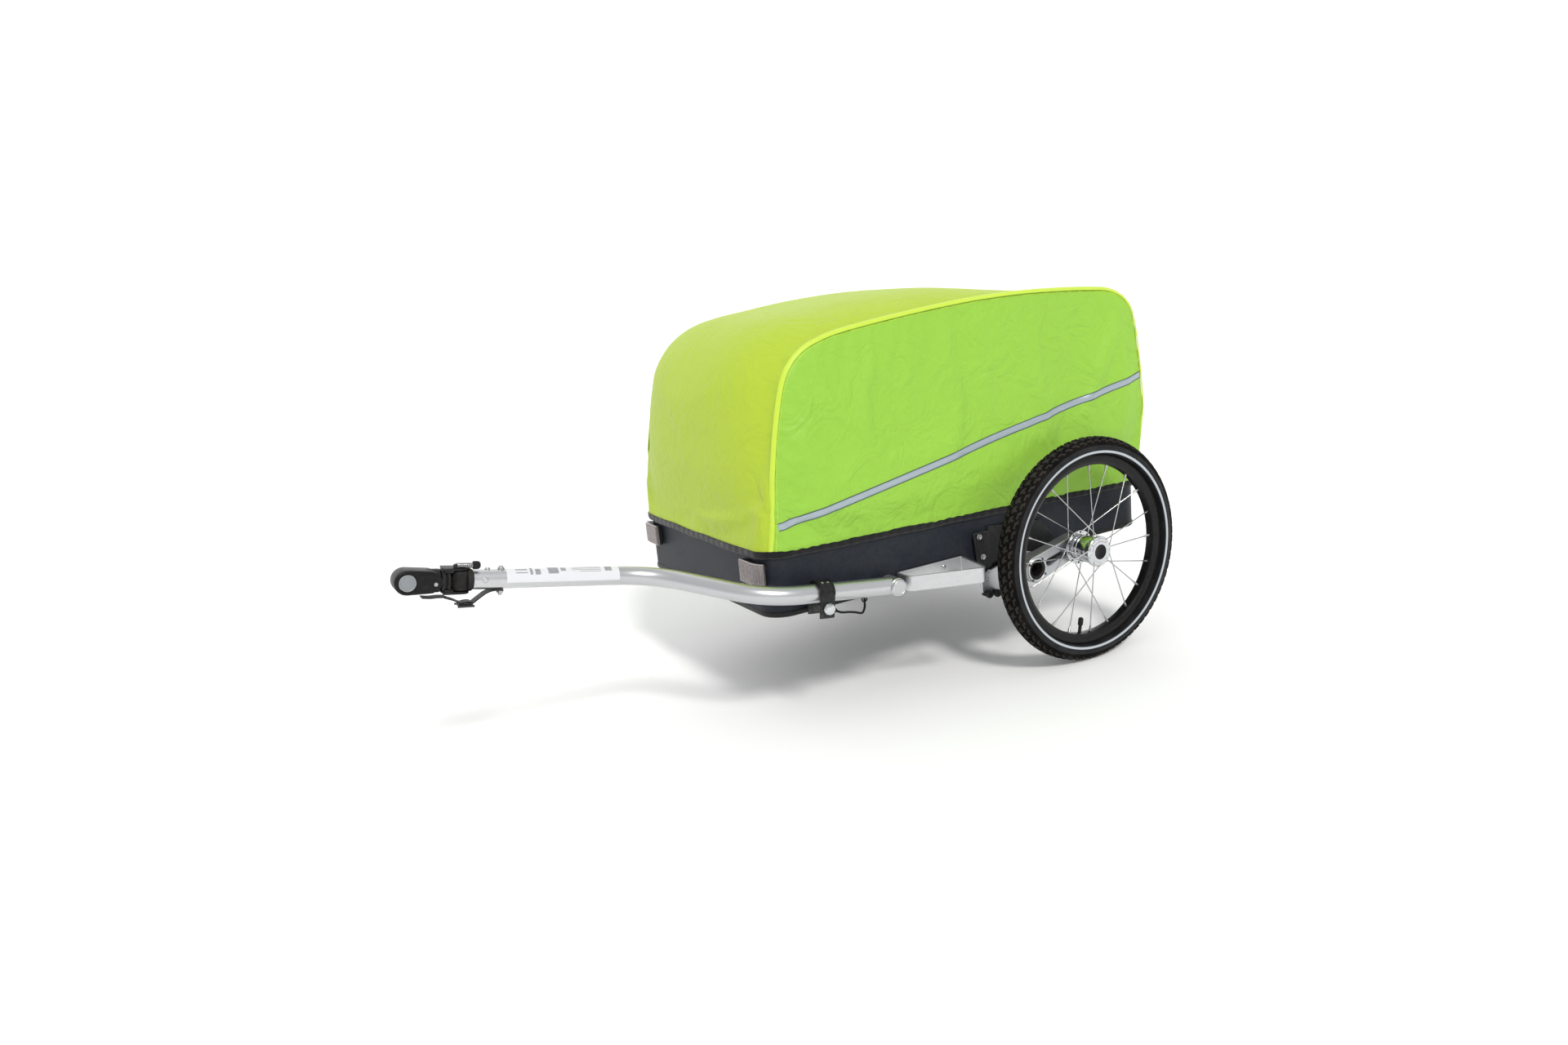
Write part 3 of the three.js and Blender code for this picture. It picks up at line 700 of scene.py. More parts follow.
def block(x, y, z, bevel, steps=2):
    """A box of that size about the origin, with rounded edges."""
    made = bmesh.new()
    bmesh.ops.create_cube(made, size=1.0)
    bmesh.ops.scale(made, vec=(x, y, z), verts=made.verts)
    bmesh.ops.bevel(
        made, geom=made.edges[:], offset=bevel, segments=steps, profile=0.5, affect="EDGES"
    )
    made.verts.index_update()
    points = [v.co.copy() for v in made.verts]
    faces = [tuple(v.index for v in f.verts) for f in made.faces]
    made.free()
    return points, faces


def placed(shape, matrix):
    return [matrix @ p for p in shape[0]], shape[1]


def shifted(shape, x=0.0, y=0.0, z=0.0):
    return placed(shape, Matrix.Translation((x, y, z)))


def joined(*shapes):
    points, faces = [], []
    for more_points, more_faces in shapes:
        start = len(points)
        points += more_points
        faces += [tuple(i + start for i in face) for face in more_faces]
    return points, faces


# %% Making a piece from shapes


def place(x=0.0, y=0.0, z=0.0, turn=None):
    """Where a piece drawn in millimetres stands; turn is a rotation matrix."""
    matrix = Matrix.Translation(at(x, y, z)) @ (turn or Matrix.Identity(4))
    return matrix @ Matrix.Scale(0.001, 4)


def piece(name, parts, where, body, stands_for=(), flat_angle=32, merge=0.00001):
    """Makes one object from (finish, shape) pairs, and says what it rides on."""
    made = bmesh.new()
    looks = []
    for look, (points, faces) in parts:
        if look not in looks:
            looks.append(look)
        corners = [made.verts.new(where @ p) for p in points]
        for face in faces:
            try:
                made.faces.new([corners[i] for i in face]).material_index = looks.index(look)
            except ValueError:
                pass
    bmesh.ops.remove_doubles(made, verts=made.verts, dist=merge)
    bmesh.ops.dissolve_degenerate(made, edges=made.edges, dist=merge / 10)
    bmesh.ops.recalc_face_normals(made, faces=made.faces)
    mesh = bpy.data.meshes.new(name)
    made.to_mesh(mesh)
    made.free()
    for look in looks:
        mesh.materials.append(look)
    for face in mesh.polygons:
        face.use_smooth = True
    mesh.set_sharp_from_angle(angle=math.radians(flat_angle))
    made_object = bpy.data.objects.new(name, mesh)
    bpy.context.collection.objects.link(made_object)
    if body:
        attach(made_object, body)
    if stands_for:
        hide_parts(*stands_for)
    return made_object


SIDES = (("left", 1), ("right", -1))
print("helpers ready")

# %% [markdown]
# ## The pin's tether
# A thin braided cord keeps the locking pin from getting lost. It leaves the pin's
# head, hangs in a small bow and ends in a ring under the drawbar. A cord has a fixed
# length, so it is drawn as a smooth line through a few points first, and a round
# section is swept along it.

# %% Tether
TETHER_R = 1.8
tether_route = [
    (517.5, 307, 206),
    (506, 306, 200),
    (488, 301, 195),
    (474, 296, 190),
    (461, 289, 184),
    (452, 283, 182),
    (447, 281, 188),
    (446, 281, 196),
    (446, 281, 204),
]
tether_line = smooth_path([Vector(p) for p in tether_route], 5)
tether = piece(
    "pin_tether_cord", [(cord_black, swept(tether_line, circle(TETHER_R, 10)))],
    place(), None, ["pin_tether"], flat_angle=60,
)
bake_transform(tether)

# %% [markdown]
# ## The drawbar
# One aluminium tube carries the pull. It starts at a pivot beside the tub, swings in
# with two bends and ends in the hitch. A tube bender leaves straight runs and even
# arcs, so the line is made of straight runs whose corners are rounded off.

# %% The line of the tube
TUBE_R = 15.0
HITCH_Y = 110.0
BOSS = Vector((388, 281, 211.8))
BEND_END = Vector((738, HITCH_Y, 274))
TUBE_END = Vector((1017, HITCH_Y, 328.5))
HITCH_TILT = math.atan2(TUBE_END.z - BEND_END.z, TUBE_END.x - BEND_END.x)
BEND_REACH = 62.0


def bent(points, reach, steps=14):
    """Straight runs through the points with every inner corner rounded off."""
    line = [points[0]]
    for before, corner, after in zip(points, points[1:], points[2:]):
        enter = corner + (before - corner).normalized() * reach
        leave = corner + (after - corner).normalized() * reach
        for i in range(steps + 1):
            t = i / steps
            line.append(enter * (1 - t) ** 2 + corner * 2 * t * (1 - t) + leave * t * t)
    line.append(points[-1])
    return line


tube_line = bent([BOSS + Vector((8, 0, 1.1)), Vector((618, 281, 243.5)), BEND_END, TUBE_END],
                 BEND_REACH)
print("tube runs", round(sum((b - a).length for a, b in zip(tube_line, tube_line[1:]))), "mm")

# %% Tube, boss and label
PIVOT_FACE = 296.0
boss_profile = [
    (5.3, 263), (14, 263), (15, 264), (15, 294.5), (13.5, PIVOT_FACE), (5.3, PIVOT_FACE),
]
boss = placed(turned(boss_profile, 40), Matrix.Translation((BOSS.x, 0, BOSS.z)))
seam_ring = swept(
    [BOSS + Vector((15 + d, 0, 2.1 + d * 0.139)) for d in (0, 1.2)], circle(15.25, 40))
tube = swept(tube_line, circle(TUBE_R, 40))
piece(
    "drawbar_bent_tube", [(anodised, tube), (anodised, boss), (anodised, seam_ring)],
    place(), "drawbar", ["drawbar_tube"], flat_angle=40,
)

tube_turn = Matrix.Rotation(-HITCH_TILT, 4, "Y")
hitch_place = place(*TUBE_END, turn=tube_turn)


def tube_skin(start, end, radius, low, high, thick=0.25, steps=24):
    """A thin film wrapped on the tube; angles run from the near side over the top."""
    turns = [math.radians(low + (high - low) * i / steps) for i in range(steps + 1)]
    outer = [(-(radius + thick) * math.cos(a), (radius + thick) * math.sin(a)) for a in turns]
    inner = [(-radius * math.cos(a), radius * math.sin(a)) for a in reversed(turns)]
    ends = [Vector((start, 0, 0)), Vector((end, 0, 0))]
    return swept(ends, outer + inner, up=Vector((0, 0, 1)))


piece(
    "drawbar_label", [(label_film, tube_skin(-226, -48, TUBE_R + 0.05, -14, 128))],
    hitch_place, "drawbar",
)

marks = []
for start, end, low, high in (
    (-100, -92, 30, 70), (-88, -84, 30, 88), (-80, -62, 62, 72), (-80, -62, 40, 46),
    (-128, -112, 34, 90), (-140, -132, 50, 80), (-196, -150, 78, 82), (-196, -150, 66, 69),
    (-196, -150, 54, 57), (-196, -162, 42, 45), (-214, -203, 44, 84),
):
    marks.append(tube_skin(start, end, TUBE_R + 0.2, low, high, 0.3))
piece("drawbar_label_marks", [(disc_grey, m) for m in marks], hitch_place, "drawbar")

# %% [markdown]
# ## Bolts and screws
# Fasteners are small, but they show that the thing is held together. A bolt is a
# turned head with a softened edge; a hexagon socket or a slot would vanish at this
# size, so the heads get a washer face, a dome and a shallow recess.

# %% Screw heads

def pan_head(radius, height):
    """A domed screw head with a socket, standing on y = 0 and facing +Y."""
    socket = radius * 0.42
    profile = [
        (0, 0), (radius, 0), (radius * 1.02, height * 0.3), (radius * 0.86, height * 0.8),
        (radius * 0.6, height), (socket, height), (socket * 0.9, height * 0.45),
        (0, height * 0.45),
    ]
    return turned(profile, 24)


def hexagon(across, height, sides=6):
    radius = across / math.sqrt(3)
    ends = [Vector((0, 0, 0)), Vector((0, height, 0))]
    body = swept(ends, circle(radius, sides), up=Vector((0, 0, 1)))
    crown = turned([(0, height), (radius * 0.85, height), (radius * 0.6, height + 0.6),
                    (0, height + 0.6)], 24)
    return joined(body, crown)


def facing(side):
    """Turns a shape that faces +Y so that it faces the given side."""
    return Matrix.Identity(4) if side > 0 else Matrix.Rotation(math.pi, 4, "Z")


bolt_at = Matrix.Translation((-42, 0, 0))
upward = Matrix.Rotation(math.pi / 2, 4, "X")
downward = Matrix.Rotation(-math.pi / 2, 4, "X")
bolt_top = placed(pan_head(5.4, 4.0), bolt_at @ Matrix.Translation((0, 0, 14.6)) @ upward)
nut = placed(hexagon(9.5, 6), bolt_at @ Matrix.Translation((0, 0, -14.6)) @ downward)
thread_profile = [(0, -24.5), (2.6, -24.5), (3, -24), (3, 20), (0, 20)]
thread = placed(turned(thread_profile, 20), bolt_at @ upward)
piece(
    "knuckle_bolt_and_nut",
    [(zinc_steel, bolt_top), (zinc_steel, nut), (zinc_steel, thread)],
    hitch_place, "drawbar", ["knuckle_bolt"],
)
dimple = placed(
    turned([(0, 14.2), (4.6, 14.2), (4.6, 15.2), (4.0, 15.7), (3.4, 15.0), (0, 14.8)], 28),
    Matrix.Translation((-16, 0, 1)))
spring_button = placed(
    turned([(0, 14), (4.2, 14), (4.2, 15.8), (3, 17.6), (0, 18.2)], 24),
    Matrix.Translation((-22, 0, 0)) @ upward)
piece(
    "tube_end_buttons", [(anodised, dimple), (zinc_steel, spring_button)],
    hitch_place, "drawbar",
)
bolt_face = [
    (0, 296.2), (13.6, 296.2), (14.2, 297), (13.6, 299.2), (11.4, 300.4), (10.6, 299.6),
    (0, 299.9),
]
pivot_stem = [(0, 240.5), (5, 240.5), (5, 297), (0, 297)]
piece(
    "pivot_bolt_head", [(anodised, turned(bolt_face, 48)), (zinc_steel, turned(pivot_stem, 24))],
    place(BOSS.x, 0, BOSS.z), "chassis", ["pivot_bolt"],
)
piece(
    "pivot_mount_block",
    [(black_paint, shifted(joined(block(34, 5, 26, 1.5), shifted(block(22, 12, 20, 2), 0, 6, 0)),
                           0, 248.8, -4))],
    place(BOSS.x, 0, BOSS.z), "chassis", ["pivot_block"],
)

# %% [markdown]
# ## The saddle and the locking pin
# The folded drawbar would swing about, so a black hook holds the tube beside the tub,
# and a pin under the tube locks it there. The hook is one band bent round the tube:
# its outline is drawn once, with round stretches as arcs, and given a width.

# %% Saddle
SADDLE_X = 524.0
TUBE_SLOPE = 0.1386
saddle_z = BOSS.z + (SADDLE_X - BOSS.x) * TUBE_SLOPE
SADDLE_IN, SADDLE_OUT = 16.2, 20.2
LEG_LOW = -37.0
band = [(-SADDLE_OUT, LEG_LOW + 3), (-SADDLE_OUT + 2, LEG_LOW), (-SADDLE_IN, LEG_LOW)]
band += arc(0, 0, SADDLE_IN, 180, 0, 20)
band += [(SADDLE_IN, LEG_LOW), (SADDLE_OUT - 1, LEG_LOW), (SADDLE_OUT, LEG_LOW + 3)]
band += arc(0, 0, SADDLE_OUT, 0, 180, 24)
across = Matrix.Rotation(math.pi / 2, 4, "Z")
tilt = Matrix.Rotation(-math.atan(TUBE_SLOPE), 4, "Y")
hook = placed(plate([band], -13, 13, 0.8), tilt @ across)
edge_bands = [
    placed(plate([arc(0, 0, 16.0, 0, 180, 20) + arc(0, 0, 20.9, 180, 0, 20)], low, low + 3, 0.6),
           tilt @ across)
    for low in (-13.2, 10.2)
]
foot = shifted(block(20, 16, 18, 1.5), 0, -26.6, 0)
rivets = [
    placed(pan_head(2.2, 0.9), tilt @ Matrix.Translation((x, 8.0, 18.2))
           @ Matrix.Rotation(math.radians(62), 4, "X"))
    for x in (-5.5, 4.5)
]
piece(
    "saddle_hook",
    [(black_paint, hook), *[(moulded_black, e) for e in edge_bands], (black_paint, foot),
     *[(zinc_steel, r) for r in rivets]],
    place(SADDLE_X, 281, saddle_z), "chassis", ["drawbar_saddle"],
)

# %% Locking pin
PIN_X, PIN_Z = 527.0, 210.0
pin_shaft = [(0, -21), (2.5, -22), (4.5, -19), (4.5, 20), (0, 20)]
pin_grip = [
    (0, 20.5), (7, 20.5), (9, 22), (9, 25), (7.4, 26.6), (8.6, 28.2), (7.8, 30), (4, 31),
    (0, 31),
]
facets = [
    shifted(placed(block(2.4, 6, 2.4, 0.5), Matrix.Rotation(2 * math.pi * i / 8, 4, "Y")
                   @ Matrix.Translation((0, 0, 8.2))), 0, 24.4, 0)
    for i in range(8)
]
tether_eye = swept(
    [Vector((-9 - 3.2 * math.cos(a), 26.5, -3.6 + 3.2 * math.sin(a)))
     for a in [2 * math.pi * i / 20 for i in range(20)]],
    circle(0.9, 8), closed=True)
piece(
    "locking_pin_with_grip",
    [(zinc_steel, turned(pin_shaft, 24)), (polished_alloy, turned(pin_grip, 20)),
     *[(polished_alloy, f) for f in facets], (black_paint, tether_eye)],
    place(PIN_X, 280.5, PIN_Z), "locking_pin", ["locking_pin"], flat_angle=25,
)
ring_line = [Vector((446 + 4.6 * math.cos(a), 281, 202.5 + 4.6 * math.sin(a)))
             for a in [2 * math.pi * i / 24 for i in range(24)]]
piece(
    "tether_ring", [(moulded_black, swept(ring_line, circle(1.2, 10), closed=True))],
    place(), "drawbar",
)

# %% [markdown]
# ## The hitch
# The hitch lets the bicycle lean and turn: a rubber knuckle in the tube's end, a yoke
# that swings about an upright pin, and a head that rolls and clicks onto the bicycle.
# Each is drawn in the hitch's own frame, with X along the tube, so that its shapes
# stay simple even though the tube rises.

# %% Knuckle and yoke
ALONG_X = Matrix.Rotation(-math.pi / 2, 4, "Z")
YAW_X = 18.0
collar_profile = [
    (0, -20), (12, -20), (12, 0.5), (14.9, 0.5), (16.8, 2.5), (17, 6), (15.6, 8.5), (11, 9),
    (0, 9),
]
barrel_profile = [
    (0, -15.4), (9, -15.4), (12, -14), (13.4, -10), (14, 0), (13.4, 10), (12, 14),
    (9, 15.4), (0, 15.4),
]
rings = [
    placed(turned([(12.2, z - 1), (14.3, z - 0.6), (14.3, z + 0.6), (12.2, z + 1)], 32), upward)
    for z in (-8.5, 8.5)
]
knuckle_shape = joined(
    placed(turned(collar_profile, 40), ALONG_X),
    shifted(placed(turned(barrel_profile, 36), upward), YAW_X, 0, 0),
    *[shifted(r, YAW_X, 0, 0) for r in rings])
piece(
    "rubber_knuckle", [(joint_rubber, knuckle_shape)],
    hitch_place, "drawbar", ["hitch_knuckle"],
)
ear_outline = arc(YAW_X, 0, 13.5, 90, 270, 18) + [(44, -15), (44, 15)]
ears = [
    shifted(placed(plate([ear_outline], -1.9, 1.9, 1.2), Matrix.Rotation(math.pi / 2, 4, "X")),
            0, 0, up * 17.6)
    for up in (1, -1)
]
yoke_collar = [
    (0, 33.5), (14, 33.5), (17.2, 34.5), (17.4, 38), (16.2, 39), (16.2, 40.4), (17.6, 41.4),
    (17.6, 46), (16, 47), (8.2, 47.2), (8.0, 74), (0, 74),
]
webs = [shifted(block(14, 27, 7, 2.5), 36, 0, up * 15.5) for up in (1, -1)]
piece(
    "hitch_yoke_moulding",
    [(moulded_black, placed(turned(yoke_collar, 44), ALONG_X)),
     *[(moulded_black, e) for e in ears], *[(moulded_black, w) for w in webs]],
    hitch_place, "hitch_yoke", ["hitch_yoke"],
)
pin_body = [(0, -21.5), (3.8, -21.5), (3.8, 19.4), (6.6, 19.6), (6.8, 21.4), (5, 22.6), (0, 22.8)]
piece(
    "yaw_pin_capped", [(black_paint, placed(turned(pin_body, 28), upward))],
    hitch_place @ Matrix.Translation((YAW_X, 0, 0)), "hitch_yoke", ["yaw_pin"],
)

# %% The spring on top of the joint
SPRING_R, WIRE_R = 3.4, 0.85
SPRING_TURNS = 11
coil = []
for i in range(SPRING_TURNS * 14 + 1):
    turn = 2 * math.pi * i / 14
    coil.append(Vector((2.5 + 23 * i / (SPRING_TURNS * 14), SPRING_R * math.sin(turn),
                        SPRING_R * math.cos(turn))))
spring = swept(coil, circle(WIRE_R, 8))
spring_core = placed(turned([(0, 0), (2.4, 0), (2.4, 27), (0, 27)], 16), ALONG_X)
cap_profile = [(0, -9), (3.6, -9), (5.6, -7.4), (6.2, -4), (6.2, 0.8), (5, 2.2), (0, 2.2)]
cap = placed(turned(cap_profile, 28), ALONG_X)
holder = shifted(block(5, 9, 6, 1.5), 27, 0, -1)
spring_place = hitch_place @ Matrix.Translation((0, 8.5, 23.2))
piece(
    "joint_return_spring",
    [(zinc_steel, spring), (black_paint, spring_core), (moulded_black, cap),
     (moulded_black, holder)],
    spring_place, "hitch_yoke",
)

# %% Head and lock disc
head_outline = strap_outline(64, 0, 16.5, 95, 0, 18.2, 28)
head_body = plate([head_outline, hole(95, 0, 12.7, 40)], -17, 17, 2.6, 3)
head_neck = [
    (8.6, 47.6), (15.5, 47.6), (17.4, 49), (17.4, 66), (15, 70), (8.6, 70),
]
neck = placed(turned(head_neck, 40), ALONG_X)
face_plate = plate([strap_outline(58, 0, 12, 95, 0, 16.4, 24), hole(95, 0, 13.2, 40)],
                   16.4, 17.9, 0.5)
head_screw = shifted(pan_head(3.2, 1.6), 55.5, 17.2, -2.5)
under_screw = placed(pan_head(3.4, 1.8), Matrix.Translation((58, 4, -16.2)) @ downward)
bare_pads = [
    shifted(placed(plate([arc(0, 0, 4.6, 0, 345, 23)], 0, 0.5, 0.15), facing(1)), x, 17.7, z)
    for x, z in ((72, 6.5), (71, -6))
]
piece(
    "hitch_head_moulding",
    [(moulded_black, head_body), (moulded_black, neck), (moulded_black, face_plate),
     (zinc_steel, head_screw), (zinc_steel, under_screw),
     *[(joint_rubber, p) for p in bare_pads]],
    hitch_place, "hitch_head", ["hitch_head"],
)
disc_profile = [
    (0, 7), (12.1, 7), (12.1, 18.6), (11.2, 19.4), (10, 18.8), (9.6, 18.2), (0, 18.0),
]
piece(
    "lock_disc", [(disc_grey, shifted(turned(disc_profile, 48), 95, 0, 0))],
    hitch_place, "lock_button", ["lock_button"],
)

# %% [markdown]
# ## The safety strap
# If the hitch ever lets go, a short webbing strap still holds the trailer. Webbing is
# flat and stiff across, so a thin section with rounded edges is swept along its line,
# with one direction kept across the strap. Simulating it would only blur its edges.

# %% Strap, buckle and loop
STRAP_W, STRAP_T = 18.0, 1.8


def strap_section(width, thick):
    w, t = width / 2, thick / 2
    return [(-w + 0.4, -t), (w - 0.4, -t), (w, -t * 0.4), (w, t * 0.4), (w - 0.4, t),
            (-w + 0.4, t), (-w, t * 0.4), (-w, -t * 0.4)]


strap_points = [(1062, 312), (1050, 305.5), (1038, 297.5), (1026, 294.2), (1012, 300.5),
                (1001, 305.5), (990, 306.8), (976, 304.2)]
strap_line = smooth_path([Vector((x, HITCH_Y, z)) for x, z in strap_points], 5)
strap = piece(
    "safety_strap_webbing",
    [(webbing_black, swept(strap_line, strap_section(STRAP_W, STRAP_T), up=Vector((0, 0, 1))))],
    place(), None, ["safety_strap"],
)
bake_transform(strap)
front_line = smooth_path(
    [Vector((x, HITCH_Y, z)) for x, z in ((1060, 312.2), (1070, 314.5), (1082, 316), (1093, 319))],
    5)
piece(
    "safety_strap_front",
    [(webbing_black, swept(front_line, strap_section(STRAP_W, STRAP_T), up=Vector((0, 0, 1))))],
    place(), "hitch_yoke",
)
loop_line = [Vector((1034 + 10 * math.cos(a), HITCH_Y, 295.4 + 3.4 * math.sin(a)))
             for a in [2 * math.pi * i / 28 for i in range(28)]]
across_loop = swept([Vector((x, HITCH_Y + y, 291.6)) for x, y in ((1024, -11.5), (1024, 11.5))],
                    circle(1.8, 10))
bars = [swept([Vector((1022, HITCH_Y + s * 11.4, 291)), Vector((1046, HITCH_Y + s * 11.4, 295))],
              circle(1.6, 10)) for s in (1, -1)]
piece(
    "strap_slide_buckle",
    [(webbing_black, swept(loop_line, [(b, a) for a, b in strap_section(17, 1.6)], closed=True,
                           up=Vector((0, 1, 0)))),
     (black_paint, across_loop), *[(black_paint, b) for b in bars]],
    place(), "drawbar", ["strap_buckle"],
)

# %% [markdown]
# ## The tub and what is bolted to it
# The tub is a shallow tray: four walls of dark laminate with rounded corners, in one
# piece with its floor. A wall's section is carried round the tray's outline, which is
# how an edge profile would be routed. A near-black band runs round its lower edge.

# %% Tub walls and the dark band at their foot
TUB_FRONT, TUB_REAR, TUB_HALF = 596.0, -214.0, 246.0
TUB_LOW, TUB_HIGH, CORNER_R = 194.0, 294.0, 40.0


def tray_outline(inset, radius, steps=12):
    """The tray's outline, seen from above, moved in by inset."""
    x1, x2, y = TUB_REAR + inset, TUB_FRONT - inset, TUB_HALF - inset
    r = radius
    return (
        arc(x2 - r, y - r, r, 0, 90, steps) + arc(x1 + r, y - r, r, 90, 180, steps)
        + arc(x1 + r, -y + r, r, 180, 270, steps) + arc(x2 - r, -y + r, r, 270, 360, steps)
    )


def ring_round_tub(inset, z, section):
    line = [Vector((x, y, z)) for x, y in tray_outline(inset, CORNER_R - inset)]
    return swept(line, section, closed=True, up=Vector((0, 0, 1)))


def soft_rectangle(width, height, r):
    w, h = width / 2, height / 2
    return [(-w + r, -h), (w - r, -h), (w, -h + r), (w, h - r), (w - r, h), (-w + r, h),
            (-w, h - r), (-w, -h + r)]


wall = ring_round_tub(2, (TUB_LOW + TUB_HIGH) / 2, soft_rectangle(4, TUB_HIGH - TUB_LOW, 1))
posts = [f"corner_post_{end}_{side}" for end in ("front", "rear") for side, _ in SIDES]
walls = [f"tub_{where}_wall" for where in ("front", "rear", "left", "right")]
piece("tub_wall_skin", [(tub_skin, wall)], place(), "chassis", posts + walls)
# The tub is made darker at its foot: a near-black band, a little proud of the wall, runs round its lowest
# edge.
foot_dark_band = ring_round_tub(1.2, 197.5, soft_rectangle(5.6, 9, 1.6))
piece("tub_foot_dark_band", [(moulded_black, foot_dark_band)], place(), "chassis")

# %% [markdown]
# ## Lights
# Each front corner carries a reflector that wraps round it. A bright shell sits on a
# black backing, and upright ribs stand on the shell's face, clear and bright by turns.
# They are real geometry, because a lens gets its sparkle from many small faces, which
# a flat bump cannot give.

# %% Front reflectors
LENS_LOW, LENS_HIGH = 246.0, 284.0
for name, side in SIDES:
    middle = Vector((TUB_FRONT - CORNER_R, side * (TUB_HALF - CORNER_R), 0))

    def lens_line(radius, spare=0.0):
        """Along the front wall and round the corner, at a distance from its middle."""
        z = (LENS_LOW + LENS_HIGH) / 2
        line = [middle + Vector((radius, -side * (36 - spare), z)),
                middle + Vector((radius, -side * 16, z))]
        turns = [math.radians(34 - spare) * i / 10 for i in range(11)]
        line += [middle + Vector((radius * math.cos(a), side * radius * math.sin(a), z))
                 for a in turns]
        return line

    tall = LENS_HIGH - LENS_LOW
    upright = Vector((0, 0, 1))
    backing = swept(lens_line(CORNER_R + 5, 1), soft_rectangle(8, tall - 2, 1.5), up=upright)
    shell = swept(lens_line(CORNER_R + 10.5), soft_rectangle(4.6, tall, 1.6), up=upright)
    ribs = []
    dense = lens_line(CORNER_R + 13, 3)
    for start, end in zip(dense, dense[1:]):
        count = max(1, round((end - start).length / 3.2))
        for i in range(count):
            spot = start.lerp(end, i / count)
            ribs.append(swept([spot + Vector((0, 0, 3 - tall / 2)),
                               spot + Vector((0, 0, tall / 2 - 3))], circle(1.5, 8)))
    piece(
        f"front_reflector_unit_{name}",
        [(moulded_black, backing), (lens_back, shell),
         *[(lens_clear if n % 2 else lens_back, rib) for n, rib in enumerate(ribs)]],
        place(), "chassis", [f"front_reflector_{name}"],
    )

# %% Rear reflectors
for name, side in SIDES:
    lens_box = shifted(block(7, 60, 34, 2.4, 3), TUB_REAR - 3.9, side * 165, 232)
    frame_box = shifted(block(4, 64, 38, 1.8), TUB_REAR - 2.1, side * 165, 232)
    ridges = [
        shifted(block(1.4, 56, 1.4, 0.5), TUB_REAR - 7.3, side * 165, 232 + 3 * i)
        for i in range(-4, 5)
    ]
    piece(
        f"rear_reflector_unit_{name}",
        [(lens_red, lens_box), (moulded_black, frame_box), *[(lens_red, r) for r in ridges]],
        place(), "chassis", [f"rear_reflector_{name}"],
    )

# %% [markdown]
# ## Guards, pivots and arms
# A bent flat bar keeps coats out of the gap between tub and wheel. Behind it a side
# plate carries the pivot of a trailing arm, whose other end holds the wheel's axle.
# The same code makes both sides: only the sign of Y changes.

# %% Wheel guards
BAR_T, BAR_H = 4.5, 26.0
for name, side in SIDES:
    corners = [(300, 249.1), (221.5, 249.1), (235.5, 327), (247.5, 331.5), (353, 285.5),
               (357.7, 280), (357.7, 249.1), (300, 249.1)]
    line = bent([Vector((x, side * y, 208)) for x, y in corners[:2]]
                + [Vector((x, side * y, 208)) for x, y in corners[2:]], 5.0, 6)
    guard = swept(line[:-1], soft_rectangle(BAR_T, BAR_H, 1.0), closed=True,
                  up=Vector((0, 0, 1)))
    screws = [placed(pan_head(4.2, 2.0), Matrix.Translation((x, side * 251.4, 210))
                     @ facing(side)) for x in (262,)]
    piece(
        f"wheel_guard_bar_{name}", [(anodised, guard), *[(zinc_steel, s) for s in screws]],
        place(), "chassis", [f"wheel_guard_{name}"], flat_angle=40,
    )

# %% Brackets, side plates and pivot cheeks
PIVOT_X, PIVOT_Z = 91.0, 176.0


def sided(shape, side):
    """Mirrors a shape drawn for the left so that it fits the other side."""
    return placed(shape, Matrix.Scale(side, 4, (0, 1, 0)) if side < 0 else Matrix.Identity(4))


for name, side in SIDES:
    bracket = plate(
        [[(198, 256), (166, 256), (160, 184), (190, 184)], hole(187, 249, 2.6), hole(181, 212, 2.6)],
        252.3, 257.5, 1.0)
    screws = [shifted(pan_head(5.2, 2.6), x, 257.3, z) for x, z in ((187, 249), (181, 212))]
    piece(
        f"guard_bracket_bolted_{name}",
        [(black_paint, sided(bracket, side)), *[(zinc_steel, sided(s, side)) for s in screws]],
        place(), "chassis", [f"guard_bracket_{name}"],
    )
    side_shape = plate(
        [[(160, 262), (40, 250), (10, 214), (50, 150), (160, 150), (176, 200)]], 246.6, 252, 1.0)
    piece(
        f"side_plate_skin_{name}", [(black_paint, sided(side_shape, side))],
        place(), "chassis", [f"side_plate_{name}"],
    )
    cheek_outline = [(192, 182), (118, 200)]
    cheek_outline += arc(PIVOT_X, PIVOT_Z, 28, 51.6, 243, 20) + [(150, 142), (192, 150)]
    cheek = plate([cheek_outline, hole(PIVOT_X, PIVOT_Z, 12.6)], 258, 264, 1.4)
    knobs = [
        shifted(turned([(0, -4), (5.6, -4), (5.8, 8), (7, 9), (7, 13), (5, 15.5), (0, 15.8)],
                       18), x, 262, z)
        for x, z in ((184, 148), (166, 146))
    ]
    cheek_screws = [shifted(pan_head(3.4, 1.8), x, 263.8, z) for x, z in ((176, 186), (178, 172))]
    piece(
        f"pivot_cheek_cast_{name}",
        [(cast_silver, sided(cheek, side)), *[(moulded_black, sided(k, side)) for k in knobs],
         *[(zinc_steel, sided(s, side)) for s in cheek_screws]],
        place(), "chassis", [f"pivot_cheek_{name}"],
    )
    sleeve = turned([(12.5, 264.6), (16.8, 264.6), (17.2, 265.4), (17.2, 291.4), (16.6, 292.3),
                     (12.9, 292.3), (12.5, 291.8)], 40)
    piece(
        f"pivot_bush_{name}",
        [(joint_rubber, sided(shifted(sleeve, PIVOT_X, 0, PIVOT_Z), side))],
        place(), "chassis", [f"pivot_sleeve_{name}"],
    )

